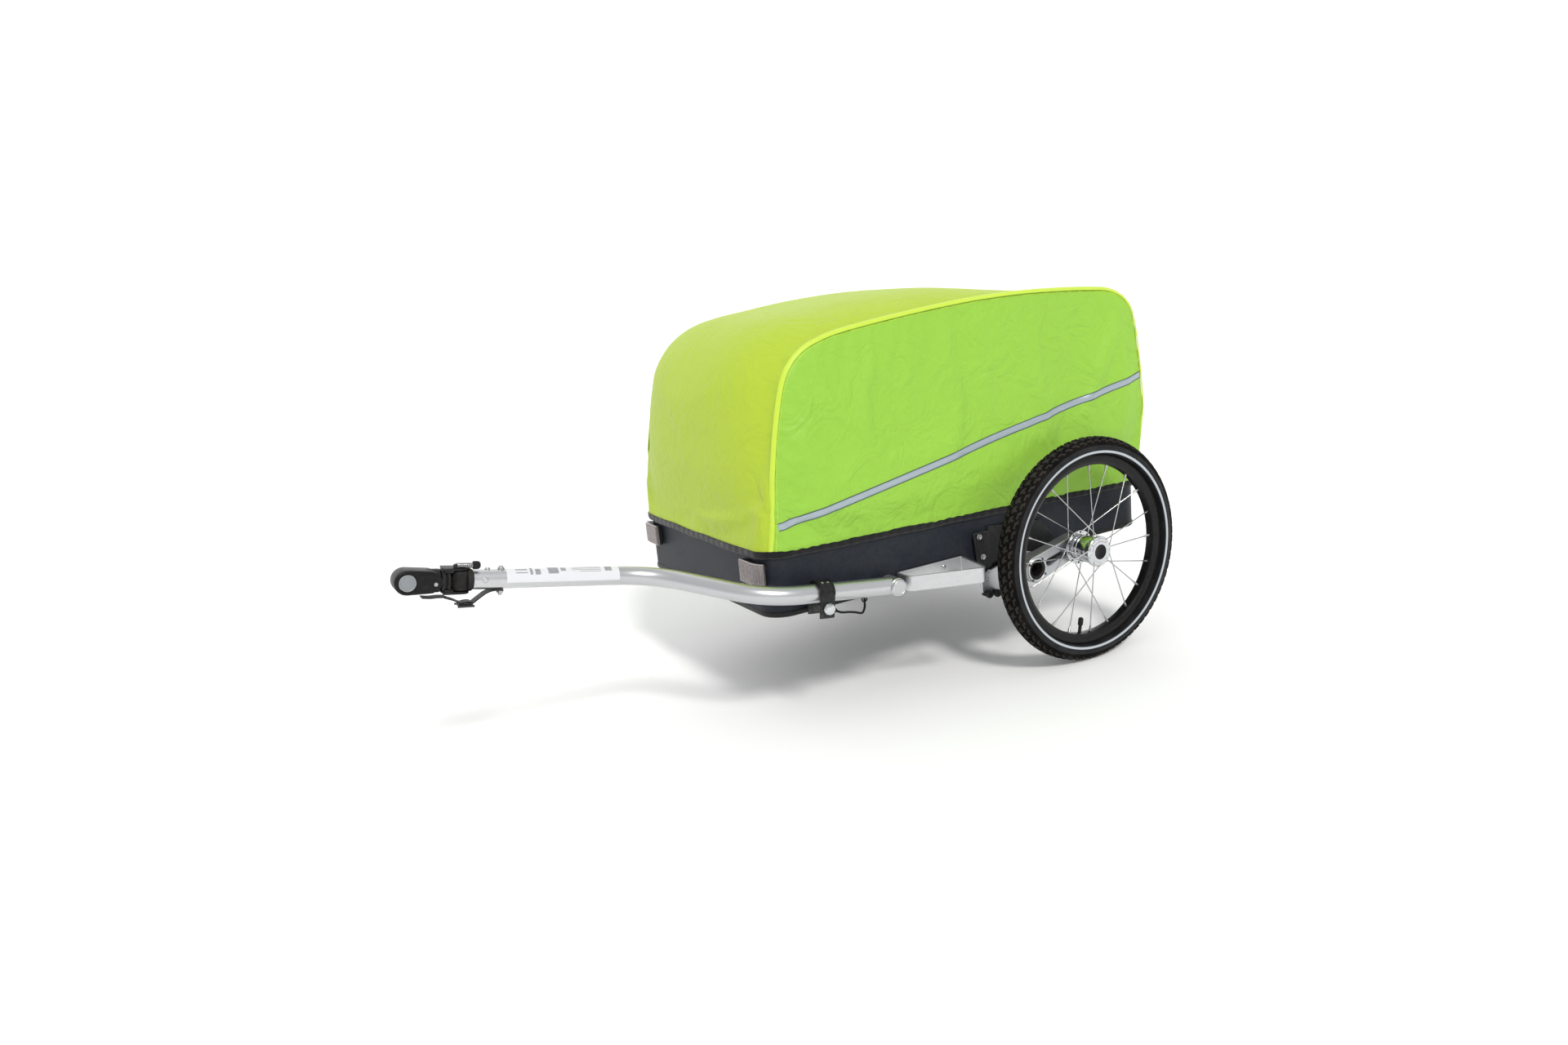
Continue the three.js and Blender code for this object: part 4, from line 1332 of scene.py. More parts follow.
# %% Trailing arms
ARM_IN, ARM_OUT = 268.0, 292.0
WHEEL_R = 200.0
for name, side in SIDES:
    arm_holes = [hole(PIVOT_X, PIVOT_Z, 17.7, 40), hole(0, WHEEL_R, 6.5),
                 strap_outline(62, 183.6, 6.5, 32, 191.5, 5.5, 10)]
    arm = plate([strap_outline(PIVOT_X, PIVOT_Z, 24, 0, WHEEL_R, 20, 24), *arm_holes],
                ARM_IN, ARM_OUT, 1.8, 3)
    lip = shifted(turned([(17.7, 291), (21.5, 291), (21.5, 293.2), (20.6, 294), (18.4, 294),
                          (17.7, 293.2)], 44), PIVOT_X, 0, PIVOT_Z)
    # A black plate stands halfway down the arm's slot: painted shade in the slot.
    slot_shade_web = plate([[(66, 170), (68, 187), (28, 198), (24, 184)]], 276, 282, 0.6)
    screws = [
        shifted(pan_head(2.4, 1.2), PIVOT_X + 20.6 * math.cos(a), 293.4, PIVOT_Z + 20.6 * math.sin(a))
        for a in (0.6, 2.2, 3.7, 5.3)
    ]
    axle_boss = shifted(turned([(6.5, 291), (17, 291), (17, 294.4), (15.6, 295.8), (8, 295.8),
                                (6.5, 295)], 36), 0, 0, WHEEL_R)
    piece(
        f"trailing_arm_cast_{name}",
        [(cast_silver, sided(arm, side)), (anodised, sided(lip, side)),
         (black_paint, sided(slot_shade_web, side)), (cast_silver, sided(axle_boss, side)),
         *[(black_paint, sided(s, side)) for s in screws]],
        place(), f"{name}_arm", [f"trailing_arm_{name}"],
    )
    button = turned([(0, 346), (12.4, 346), (12.6, 352.4), (11.6, 353.6), (9, 352.8), (7, 352),
                     (0, 351.6)], 40)
    piece(
        f"release_button_cap_{name}",
        [(moulded_black, sided(shifted(button, 0, 0, WHEEL_R), side))],
        place(), f"{name}_button", [f"release_button_{name}"],
    )

# %% [markdown]
# ## The wheels
# A wheel is drawn once about its own centre and placed twice. The tyre is the piece
# that people look at: its tread is cut by a rule that says, for every direction round
# the wheel and across it, whether there is a block or a groove. That rule moves the
# points of a fine grid, so the zigzag edge shows in the silhouette too.

# %% Tyre
TYRE_R = 22.0
RIM_INNER_R = 151.0
HALF_TRACK = 325.0
VALVE_TURN = 0.19
BLOCKS = 72
TREAD_DEPTH = 1.9
AROUND, OVER = 864, 30
TREAD_EDGE = 1.0


def groove(step, w):
    """1 where the tread is cut and 0 on a block; w runs from -1 to 1 across it."""
    zigzag = abs(step % 1 - 0.5) * 2 - 0.5
    if abs(w - 0.12 * zigzag) < 0.05:
        return 1.0
    lean = (step + 1.1 * abs(w) + (0.5 if w > 0 else 0.0)) % 1
    if abs(w) > 0.12 and lean < 0.26:
        return 1.0
    if 0.5 < abs(w) - 0.06 * zigzag < 0.58:
        return 1.0
    return 1.0 if abs(w) > (1.02 if lean < 0.65 else 0.9) else 0.0


def tyre_shape():
    """The tyre's outside as a fine grid, closed by its inside as a coarse one."""
    points, faces, deep = [], [], []
    reach = 1.95
    inner = [(168.8, 7.6), (161, 7.4), (161, 4.6), (171, 4.6), (176, 12)]
    ring = OVER + 1 + 2 * len(inner)
    for i in range(AROUND):
        angle = 2 * math.pi * i / AROUND
        section = []
        for j in range(OVER + 1):
            turn = (2 * j / OVER - 1) * reach
            w = turn / TREAD_EDGE
            cut = groove(i * BLOCKS / AROUND, w) if abs(w) < 1.2 else 1.0
            deep.append(cut > 0.5 and abs(w) < 1.2)
            radius = TYRE_R - TREAD_DEPTH * cut
            section.append((WHEEL_R - TYRE_R + radius * math.cos(turn), radius * math.sin(turn)))
        section += inner + [(r, -y) for r, y in reversed(inner)]
        deep += [False] * (2 * len(inner))
        points += [Vector((r * math.sin(angle), y, r * math.cos(angle))) for r, y in section]
    for i in range(AROUND):
        here, there = i * ring, (i + 1) % AROUND * ring
        for j in range(ring):
            k = (j + 1) % ring
            faces.append((here + j, here + k, there + k, there + j))
    return points, faces, deep


tyre_points, tyre_faces, deep = tyre_shape()
ring_size = len(tyre_points) // AROUND
tread_rows = range(round(OVER * 0.2), round(OVER * 0.8))
tread_faces, groove_faces, wall_faces = [], [], []
for n, face in enumerate(tyre_faces):
    if n % ring_size not in tread_rows:
        wall_faces.append(face)
    elif sum(deep[v] for v in face) > 1:
        groove_faces.append(face)
    else:
        tread_faces.append(face)
STRIPE_R = 174.7
stripes = []
for side in (1, -1):
    rows = []
    for radius in (STRIPE_R - 2.0, STRIPE_R + 2.0):
        y = math.sqrt((TYRE_R - TREAD_DEPTH) ** 2 - (radius - WHEEL_R + TYRE_R) ** 2)
        rows.append((radius, y))
    (r1, y1), (r2, y2) = rows
    stripes.append(turned([(r1, side * (y1 - 0.6)), (r1, side * (y1 + 0.35)),
                           (r2, side * (y2 + 0.35)), (r2, side * (y2 - 0.6))], 144))
print("tyre has", len(tyre_faces), "faces")

# %% Rim
rim_profile = [
    (RIM_INNER_R, -6), (RIM_INNER_R, 6), (151.8, 8.4), (156, 11.4), (160, 12), (166.6, 12),
    (168, 11.4), (168, 10.2), (166.4, 9.4), (160, 8.4), (158.4, 4), (158.4, -4), (160, -8.4),
    (166.4, -9.4), (168, -10.2), (168, -11.4), (166.6, -12), (160, -12), (156, -11.4),
    (151.8, -8.4),
]
rim = turned(rim_profile, 144)

# %% Hub
OUTER_FLANGE, INNER_FLANGE = 27.0, 30.5
FLANGE_Y = 23.0
SPOKES = 20


def flange(radius, hole_ring, low, high, phase):
    rim_line = [hole(0, 0, radius, 48)]
    count = SPOKES // 2
    for i in range(count):
        turn = 2 * math.pi * (i + phase) / count
        rim_line.append(hole(hole_ring * math.sin(turn), hole_ring * math.cos(turn), 1.5, 10))
    return plate([*rim_line, hole(0, 0, 13.3, 40)], low, high, 0.6)


barrel = turned(
    [(13.3, -26.8), (16.4, -26.8), (17, -26.2), (17, -24), (21, -21.4), (23.4, -18),
     (23.6, -9), (22.6, -8), (22.6, -3), (23.6, -2), (23.6, 11), (22.4, 14), (20.6, 19.5),
     (20.6, 21), (18.6, 27.4), (17.4, 28.8), (13.3, 28.9)], 56)
outer_drum = turned(
    [(13.6, 20.4), (26.2, 20.4), (27.2, 21.2), (27.2, 25.8), (26.4, 26.6), (24, 26.8),
     (23.4, 27.6), (18.6, 27.8), (17.8, 28.8), (13.6, 28.9)], 56)
hub_screws = [
    shifted(turned([(0, 0), (1.6, 0), (1.6, 0.9), (1.1, 1.3), (0, 1.3)], 12),
            21.2 * math.sin(a), 27.6, 21.2 * math.cos(a))
    for a in [2 * math.pi * (i + 0.3) / 8 for i in range(8)]
]
# Thin black discs lie on the inner flange over its spoke holes: painted shade in the holes.
spoke_hole_shade_discs = [
    shifted(turned([(0, 0), (1.4, 0), (1.4, 0.3), (0, 0.3)], 10),
            27 * math.sin(a), -20.9, 27 * math.cos(a))
    for a in [2 * math.pi * (i + 0.1) / 10 for i in range(10)]
]

# %% [markdown]
# ### Spokes
# Spokes cross on their way to the rim, and they alternate between the hub's two
# flanges. Their place follows from the count alone, so one loop makes all of them,
# each with its bent end in the flange and its nipple in the rim.

# %% Spokes and valve
SPOKE_R, NIPPLE_R = 1.0, 2.0
CROSS = 0.62
spokes, nipples, elbows = [], [], []
for i in range(SPOKES):
    outer = i % 2 == 0
    rim_turn = (i + 0.5) / SPOKES * 2 * math.pi
    hub_turn = rim_turn + (CROSS if i // 2 % 2 == 0 else -CROSS)
    hole_r = 24.2 if outer else 27.6
    y = FLANGE_Y + 4.4 if outer else -FLANGE_Y - 3.2
    start = Vector((hole_r * math.sin(hub_turn), y, hole_r * math.cos(hub_turn)))
    end = Vector((RIM_INNER_R * math.sin(rim_turn), 2 if outer else -2,
                  RIM_INNER_R * math.cos(rim_turn)))
    toward = (end - start).normalized()
    bend = start + toward * 3
    through = Vector((start.x, start.y - (5 if outer else -5), start.z))
    spokes.append(swept([through, start, bend, end], circle(SPOKE_R, 8)))
    elbows.append(shifted(turned([(0, -0.8), (1.9, -0.8), (1.9, 0.6), (0, 0.8)], 10),
                          through.x, through.y, through.z))
    nipple = [end + toward * 1.5, end - toward * 3, end - toward * 8, end - toward * 11]
    nipples.append(swept(nipple, circle(NIPPLE_R, 8), sizes=[1.3, 1.2, 0.9, 0.75]))
valve_stem = placed(
    turned([(0, -9), (4.2, -9), (4.2, -5), (3, -3.5), (3, 14), (4.3, 15), (4.4, 18), (4.0, 26),
            (3.2, 28.5), (0, 29)], 22), upward)
valve_cap = [
    shifted(placed(block(0.7, 0.7, 10, 0.2), Matrix.Rotation(2 * math.pi * i / 12, 4, "Z")
                   @ Matrix.Translation((4.3, 0, 0))), 0, 0, 21) for i in range(12)
]

# %% Both wheels
for name, side in SIDES:
    turn = Matrix.Rotation(-VALVE_TURN, 4, "Y")
    if side < 0:
        turn = Matrix.Rotation(math.pi, 4, "Z") @ Matrix.Rotation(VALVE_TURN, 4, "Y")
    stand = place(0, side * HALF_TRACK, WHEEL_R, turn)
    body = f"{name}_wheel"
    piece(
        f"tyre_with_tread_{name}",
        [(tread_rubber, (tyre_points, tread_faces)), (groove_painted_shade_rubber, (tyre_points, groove_faces)),
         (wall_rubber, (tyre_points, wall_faces)),
         *[(stripe_grey, s) for s in stripes]],
        stand, body, [f"tyre_{name}"], flat_angle=50,
    )
    piece(f"rim_hoop_{name}", [(rim_black, rim)], stand, body, [f"rim_{name}"])
    flanges = [
        (polished_alloy, flange(INNER_FLANGE, 27.6, -25, -21.4, 0.1)),
        (polished_alloy, flange(OUTER_FLANGE + 0.3, 24.4, 22.4, 25.6, 0.35)),
    ]
    piece(
        f"hub_shell_{name}",
        [(polished_alloy, barrel), (polished_alloy, outer_drum), *flanges,
         *[(black_paint, s) for s in spoke_hole_shade_discs], *[(zinc_steel, s) for s in hub_screws]],
        stand, body, [f"hub_{name}"],
    )
    piece(
        f"spokes_laced_{name}",
        [*[(spoke_steel, s) for s in spokes + elbows], *[(zinc_steel, n) for n in nipples]],
        stand, body, [f"spokes_{name}"], flat_angle=60,
    )
    piece(
        f"valve_capped_{name}",
        [(joint_rubber, valve_stem), *[(moulded_black, v) for v in valve_cap]],
        stand @ Matrix.Translation((0, 0, -143 - 9)), body, [f"valve_{name}"],
    )
print("wheels placed")

# %% [markdown]
# ## The rain cover
# The cover is sewn from three panels: one long panel that runs from the front hem over
# the top to the rear hem, and a flat panel on each side. It is the largest surface, so
# it gets the most care. The panels are first drawn as smooth curved sheets, then a
# short cloth simulation pulls them between their seams, which gives the soft folds and
# the puckers that no noise pattern imitates well. The seams and hems stay where they
# are, because the bows and the tub's rail hold them.

# %% The seam's line, seen from the side
SEAM = [
    (598, 297), (588, 337), (580.5, 380), (572.5, 427), (559, 493), (542, 553), (526, 583),
    (502, 605), (470, 619), (420, 630), (310, 642), (195, 651), (116, 654), (35, 654),
    (-48, 650.5), (-110, 646), (-152, 640.5), (-184, 627), (-206, 604), (-216, 572),
    (-221.5, 525), (-225.5, 470), (-227.5, 405), (-227.5, 340), (-226, 277),
]
COVER_HALF, COVER_LEAN = 250.0, 12 / 350
HEM_START, HEM_END = Vector((598, 0, 297)), Vector((-226, 0, 277))
STEP = 9.5


def evenly(line, step):
    """The same line with its points at equal distances."""
    reach = [0.0]
    for a, b in zip(line, line[1:]):
        reach.append(reach[-1] + (b - a).length)
    count = round(reach[-1] / step)
    spots, i = [], 0
    for k in range(count + 1):
        goal = reach[-1] * k / count
        while i < len(reach) - 2 and reach[i + 1] < goal:
            i += 1
        share = (goal - reach[i]) / (reach[i + 1] - reach[i])
        spots.append(line[i].lerp(line[i + 1], share))
    return spots, reach[-1]


seam_fine = smooth_path([Vector((x, 0, z)) for x, z in SEAM], 8)
seam, seam_length = evenly(seam_fine, STEP)
STATIONS = len(seam) - 1
print("the seam is", round(seam_length), "mm long")


def cover_half(z):
    return COVER_HALF - COVER_LEAN * max(0.0, z - 300)


def seam_out(i):
    """The direction the main panel faces at a station."""
    along = (seam[min(i + 1, STATIONS)] - seam[max(i - 1, 0)]).normalized()
    return Vector((along.z, 0, -along.x))


CROWN = [(0, 8), (0.06, 36), (0.12, 52), (0.18, 57), (0.24, 50), (0.3, 42), (0.38, 41),
         (0.48, 34), (0.6, 13), (0.75, 4), (1, 1)]
crown_line = smooth_path([Vector((share, proud, 0)) for share, proud in CROWN], 6)


def crown(share, t):
    """How far the cloth stands proud of its side seams: most at the upper front."""
    for a, b in zip(crown_line, crown_line[1:]):
        if share <= b.x:
            break
    proud = a.y + (b.y - a.y) * (share - a.x) / (b.x - a.x)
    return proud * (1 - abs(t) ** 4)


HEM_ROUND, TUB_MIDDLE = 44.0, 186.0


def rounded(spot):
    """Draws the cover's upright corners in near the hem, where the tub is round."""
    reach = HEM_ROUND * max(0.0, 1 - (spot.z - 290) / 130)
    half = cover_half(spot.z)
    ahead = spot.x > TUB_MIDDLE
    end = corner_x(spot.z, ahead)
    into_x = (spot.x - end if ahead else end - spot.x) + reach
    into_y = abs(spot.y) - half + reach
    if reach < 1 or min(into_x, into_y) <= 0:
        return spot
    shrink = max(into_x, into_y) / math.hypot(into_x, into_y)
    moved_x = end + (into_x * shrink - reach) * (1 if ahead else -1)
    moved_y = math.copysign(half - reach + into_y * shrink, spot.y)
    return Vector((moved_x, moved_y, spot.z))


def corner_x(z, ahead):
    """Where the seam is at a height, at the front or at the back."""
    line = seam_fine if ahead else seam_fine[::-1]
    for a, b in zip(line, line[1:]):
        if a.z <= z <= b.z:
            return a.x + (b.x - a.x) * (z - a.z) / (b.z - a.z)
    return line[0].x


# %% The main panel as a grid
ACROSS = 52
points, faces, flat_places, kinds, held = [], [], [], [], []
seam_rows = {1: [], -1: []}
for i, spot in enumerate(seam):
    half = cover_half(spot.z)
    for j in range(ACROSS + 1):
        t = 2 * j / ACROSS - 1
        lift = crown(i / STATIONS, t)
        points.append(spot + Vector((0, half * t, 0)) + seam_out(i) * lift)
        flat_places.append((seam_length * i / STATIONS, half * t))
        held.append(j in (0, ACROSS) or i in (0, STATIONS))
        if j == ACROSS:
            seam_rows[1].append(len(points) - 1)
        if j == 0:
            seam_rows[-1].append(len(points) - 1)
for i in range(STATIONS):
    for j in range(ACROSS):
        a = i * (ACROSS + 1) + j
        faces.append((a, a + 1, a + ACROSS + 2, a + ACROSS + 1))
        kinds.append(0)

# %% [markdown]
# ### Side panels
# A side panel fills the outline made by the seam and the hem. The rim's points are
# joined to a grid of inner points by Delaunay triangles, the way a pattern cutter's
# software fills a pattern. In the middle the panel stands out a little, since the
# cloth between its seams is never quite flat.

# %% Side panels as filled outlines
hem, _ = evenly([HEM_START, HEM_END], STEP)
rim_2d = [Vector((p.x, p.z)) for p in seam] + [Vector((p.x, p.z)) for p in reversed(hem[1:-1])]


def inside(spot):
    hit = False
    for a, b in zip(rim_2d, rim_2d[1:] + rim_2d[:1]):
        if (a.y > spot.y) != (b.y > spot.y):
            if spot.x < a.x + (b.x - a.x) * (spot.y - a.y) / (b.y - a.y):
                hit = not hit
    return hit


def rim_distance(spot):
    nearest = 1e9
    for a, b in zip(rim_2d, rim_2d[1:] + rim_2d[:1]):
        along = b - a
        share = max(0.0, min(1.0, (spot - a).dot(along) / along.length_squared))
        nearest = min(nearest, (spot - a - along * share).length)
    return nearest


inner = []
for row in range(60):
    for column in range(110):
        spot = Vector((-240 + STEP * (column + 0.5 * (row % 2)), 280 + STEP * 0.87 * row))
        if inside(spot) and rim_distance(spot) > STEP * 0.6:
            inner.append(spot)
loop_edges = [(i, (i + 1) % len(rim_2d)) for i in range(len(rim_2d))]
filled = delaunay_2d_cdt(rim_2d + inner, loop_edges, [], 1, 0.001)
side_points, side_faces = filled[0], filled[2]
print("a side panel has", len(side_points), "points and", len(side_faces), "triangles")
bulge_at = [rim_distance(p) for p in side_points]
RIM = len(rim_2d)
for kind, side in ((1, 1), (2, -1)):
    index = {}
    for i, spot in enumerate(side_points):
        if i <= STATIONS:
            index[i] = seam_rows[side][i]
            continue
        depth = min(1.0, bulge_at[i] / 130)
        out = 9.0 * math.sin(depth * math.pi / 2) if i >= RIM else 0.0
        index[i] = len(points)
        points.append(Vector((spot.x, side * (cover_half(spot.y) + out), spot.y)))
        flat_places.append((spot.x, spot.y))
        held.append(i < RIM)
    for triangle in side_faces:
        corners = [index[v] for v in triangle]
        faces.append(tuple(corners if side < 0 else corners[::-1]))
        kinds.append(kind)
points = [rounded(p) for p in points]
print("cover cloth:", len(points), "points,", len(faces), "faces")

# %% [markdown]
# ### Sewing, pulling and settling
# All three panels are one mesh for the simulation, so the seam joins them. The cloth
# is cut one and a half hundredths too large for its frame and then has to find room:
# it bows out between the bows and gathers along the seams. The result is kept and
# the simulation is thrown away. No point may end up further than a few millimetres
# from where it started, and near the hem even less.

# %% Settle the cloth
ALLOWED = 9.0
EXTRA = -0.014
SETTLING_FRAMES = 34
start = [p.copy() for p in points]
cloth_mesh = bpy.data.meshes.new("cover_cloth")
cloth_mesh.from_pydata([p / 1000 for p in points], [], faces)
holder = bpy.data.objects.new("cover_cloth", cloth_mesh)
bpy.context.collection.objects.link(holder)
pins = holder.vertex_groups.new(name="held")
pins.add([i for i, keep in enumerate(held) if keep], 1.0, "REPLACE")
pins.add(seam_rows[1] + seam_rows[-1], 1.0, "REPLACE")
cloth = holder.modifiers.new("cloth", "CLOTH")
cloth.settings.vertex_group_mass = "held"
cloth.settings.quality = 7
cloth.settings.mass = 0.15
cloth.settings.tension_stiffness = 30
cloth.settings.compression_stiffness = 30
cloth.settings.shear_stiffness = 12
cloth.settings.bending_stiffness = 0.6
cloth.settings.air_damping = 3
cloth.settings.shrink_min = EXTRA
cloth.settings.shrink_max = EXTRA
cloth.settings.effector_weights.gravity = 0.35
cloth.collision_settings.use_collision = False
scene = bpy.context.scene
cloth.point_cache.frame_start = 1
cloth.point_cache.frame_end = SETTLING_FRAMES
for frame_number in range(1, SETTLING_FRAMES + 1):
    scene.frame_set(frame_number)
settled = holder.evaluated_get(bpy.context.evaluated_depsgraph_get()).to_mesh()
points = [v.co * 1000 for v in settled.vertices]
holder.to_mesh_clear()
scene.frame_set(1)
bpy.data.objects.remove(holder)
moved = []
for i, (old, new) in enumerate(zip(start, points)):
    step = new - old
    room = ALLOWED
    if old.z < 345:
        room = min(ALLOWED, 1.5 + max(0.0, old.z - 300) * 0.16)
    if step.length > room:
        step = step * (room / step.length)
    points[i] = old + step
    moved.append(step.length)
print("the cloth moved", round(max(moved), 1), "mm at most and",
      round(sum(moved) / len(moved), 2), "mm on average")

# %% Cut the three panels apart again
smooth_holder = bpy.data.objects.new("cover_cloth", bpy.data.meshes.new("cover_cloth"))
smooth_holder.data.from_pydata([p / 1000 for p in points], [], faces)
for face, kind in zip(smooth_holder.data.polygons, kinds):
    face.material_index = kind
bpy.context.collection.objects.link(smooth_holder)
for look in (cloth_main, cloth_side, cloth_side):
    smooth_holder.data.materials.append(look)
layer = smooth_holder.data.uv_layers.new(name="cloth metres")
for face in smooth_holder.data.polygons:
    for corner in face.loop_indices:
        v = smooth_holder.data.loops[corner].vertex_index
        if face.material_index:
            spot = points[v]
            layer.data[corner].uv = (spot.x / 1000, spot.z / 1000)
        else:
            layer.data[corner].uv = (flat_places[v][0] / 1000, flat_places[v][1] / 1000)
finer = smooth_holder.modifiers.new("finer", "SUBSURF")
finer.levels = 1
finer.render_levels = 1
finer.boundary_smooth = "PRESERVE_CORNERS"
smooth_cloth = bpy.data.meshes.new_from_object(
    smooth_holder.evaluated_get(bpy.context.evaluated_depsgraph_get()))
bpy.data.objects.remove(smooth_holder)
SHEET = 0.0011
for kind, name in enumerate(("cover_main_panel", "cover_side_panel_left",
                             "cover_side_panel_right")):
    made = bmesh.new()
    made.from_mesh(smooth_cloth)
    for face in made.faces:
        face.smooth = True
    bmesh.ops.delete(
        made, geom=[f for f in made.faces if f.material_index != kind], context="FACES")
    for vertex in made.verts:
        vertex.co += Vector((AXLE_X, 0, 0))
    mesh = bpy.data.meshes.new(name)
    made.to_mesh(mesh)
    cut_area = sum(f.calc_area() for f in made.faces)
    made.free()
    mesh.materials.clear()
    mesh.materials.append(cloth_main if kind == 0 else cloth_side)
    for face in mesh.polygons:
        face.material_index = 0
    panel = bpy.data.objects.new(name, mesh)
    bpy.context.collection.objects.link(panel)
    thick = panel.modifiers.new("thick", "SOLIDIFY")
    thick.thickness = SHEET
    thick.offset = -1.0
    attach(panel, "cover")
    print(name, "has", len(mesh.polygons), "faces and", round(cut_area, 3), "square metres")
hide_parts("rain_cover")

# %% [markdown]
# ### Piping, hem, tape and stitches
# The trims tell the eye that this is sewn cloth. A bright piping covers each seam, a
# black binding closes the hem, and a reflective tape rises along each side from front
# to back. The tape and the stitches are laid on the settled cloth: a ray is shot at the
# cloth from outside, and each starts where it hits, so it follows each fold.

# %% Finding the cloth's surface
cloth_tree = BVHTree.FromPolygons(
    [Vector(v.co) * 1000 for v in smooth_cloth.vertices],
    [tuple(f.vertices) for f in smooth_cloth.polygons])


def on_cloth(spot, toward):
    """Where a ray from far outside, going toward the spot, meets the cloth."""
    hit, normal, _, _ = cloth_tree.ray_cast(spot - toward * 200, toward, 400)
    if hit is None:
        return spot, -toward
    return hit, normal if normal.dot(toward) < 0 else -normal


def ribbon(spots, normals, ups, width, thick):
    """A thin band laid on a surface: one rounded section for every spot."""
    points, faces = [], []
    section = [(-0.5, 0.0), (-0.5, 0.6), (-0.44, 1.0), (0.44, 1.0), (0.5, 0.6), (0.5, 0.0),
               (0.44, -0.4), (-0.44, -0.4)]
    for spot, normal, up in zip(spots, normals, ups):
        points += [spot + up * (width * a) + normal * (thick * b) for a, b in section]
    rows = len(section)
    for i in range(len(spots) - 1):
        for j in range(rows):
            k = (j + 1) % rows
            faces.append((i * rows + j, i * rows + k, (i + 1) * rows + k, (i + 1) * rows + j))
    faces.append(tuple(range(rows))[::-1])
    faces.append(tuple(range((len(spots) - 1) * rows, len(spots) * rows)))
    return points, faces


# %% Piping on both seams
for name, side in SIDES:
    fine, _ = evenly(seam_fine, 4.0)
    line = [rounded(Vector((p.x, side * cover_half(p.z), p.z))) for p in fine]
    line = [p + Vector((0, side * 0.4, 0)) for p in line]
    last = len(line) - 1
    shapes, faces = [], []
    section = [(-4.2, -0.6), (-4.0, 0.6), (-2.8, 1.4), (-1.0, 1.9), (1.0, 1.9), (2.8, 1.4),
               (4.0, 0.6), (4.2, -0.6)]
    points = []
    for i, spot in enumerate(line):
        along = (line[min(i + 1, last)] - line[max(i - 1, 0)]).normalized()
        top_out = Vector((along.z, 0, -along.x))
        corner_out = (top_out + Vector((0, side, 0))).normalized()
        lie = along.cross(corner_out).normalized()
        plump = 1 + 0.07 * math.sin(i * 1.3) + 0.08 * noise.noise(spot * 0.03)
        points += [spot + lie * a + corner_out * (b * plump - 0.8) for a, b in section]
    rows = len(section)
    for i in range(last):
        for j in range(rows):
            k = (j + 1) % rows
            faces.append((i * rows + j, i * rows + k, (i + 1) * rows + k, (i + 1) * rows + j))
    faces += [tuple(range(rows))[::-1], tuple(range(last * rows, (last + 1) * rows))]
    stitches = []
    for i in range(2, last - 2, 1):
        along = (line[i + 1] - line[i - 1]).normalized()
        inward = Vector((0, side, 0)).cross(along).normalized()
        if inward.dot(Vector((190, 0, 450)) - line[i]) < 0:
            inward = -inward
        spot, normal = on_cloth(line[i] + inward * 6.8, Vector((0, -side, 0)))
        ends = [spot + normal * 0.25 - along * 1.3, spot + normal * 0.5,
                spot + normal * 0.25 + along * 1.3]
        stitches.append(swept(ends, circle(0.42, 5)))
    piece(
        f"seam_piping_{name}", [(seam_yellow, (points, faces)), (stitch_thread, joined(*stitches))],
        place(), "cover", flat_angle=60,
    )
print("seam stitches:", len(stitches), "a side")

# %% Hem binding, all the way round
hem_fine, _ = evenly([HEM_START, HEM_END], 4.0)
across_hem = [1 - 2 * j / 120 for j in range(1, 120)]
ring = [Vector((p.x, cover_half(p.z), p.z)) for p in hem_fine]
ring += [HEM_END + Vector((-crown(1, t), cover_half(277) * t, 0)) for t in across_hem]
ring += [Vector((p.x, -cover_half(p.z), p.z)) for p in reversed(hem_fine)]
ring += [HEM_START + Vector((crown(0, t), cover_half(297) * t, 0)) for t in reversed(across_hem)]
ring = [rounded(p) for p in ring]
middle = Vector((TUB_MIDDLE, 0, 0))
points, faces = [], []
section = [(-1.5, 5.6), (0.7, 5.8), (1.6, 4.6), (2.2, 0), (1.6, -4.6), (0.6, -5.8), (-1.2, -5.6)]
for i, spot in enumerate(ring):
    before, after = ring[i - 1], ring[(i + 1) % len(ring)]
    along = (after - before).normalized()
    facing_out = Vector((along.y, -along.x, 0)).normalized()
    if facing_out.dot(spot - middle) < 0:
        facing_out = -facing_out
    gather = 0.4 * math.sin(i * 1.3) + 1.2 * noise.noise(spot * 0.02)
    drop = 1.6 * noise.noise(spot * 0.016 + Vector((5, 5, 5)))
    for a, b in section:
        points.append(spot + facing_out * (a + gather) + Vector((0, 0, b + drop)))
rows = len(section)
for i in range(len(ring)):
    n = (i + 1) % len(ring)
    for j in range(rows):
        k = (j + 1) % rows
        faces.append((i * rows + j, i * rows + k, n * rows + k, n * rows + j))
piece(
    "hem_binding", [(binding_black, (points, faces))], place(), "cover",
    flat_angle=60,
)

# %% Reflective tape
TAPE_W = 10.5


def tape_height(x):
    return 338 + 0.174 * (585 - x)


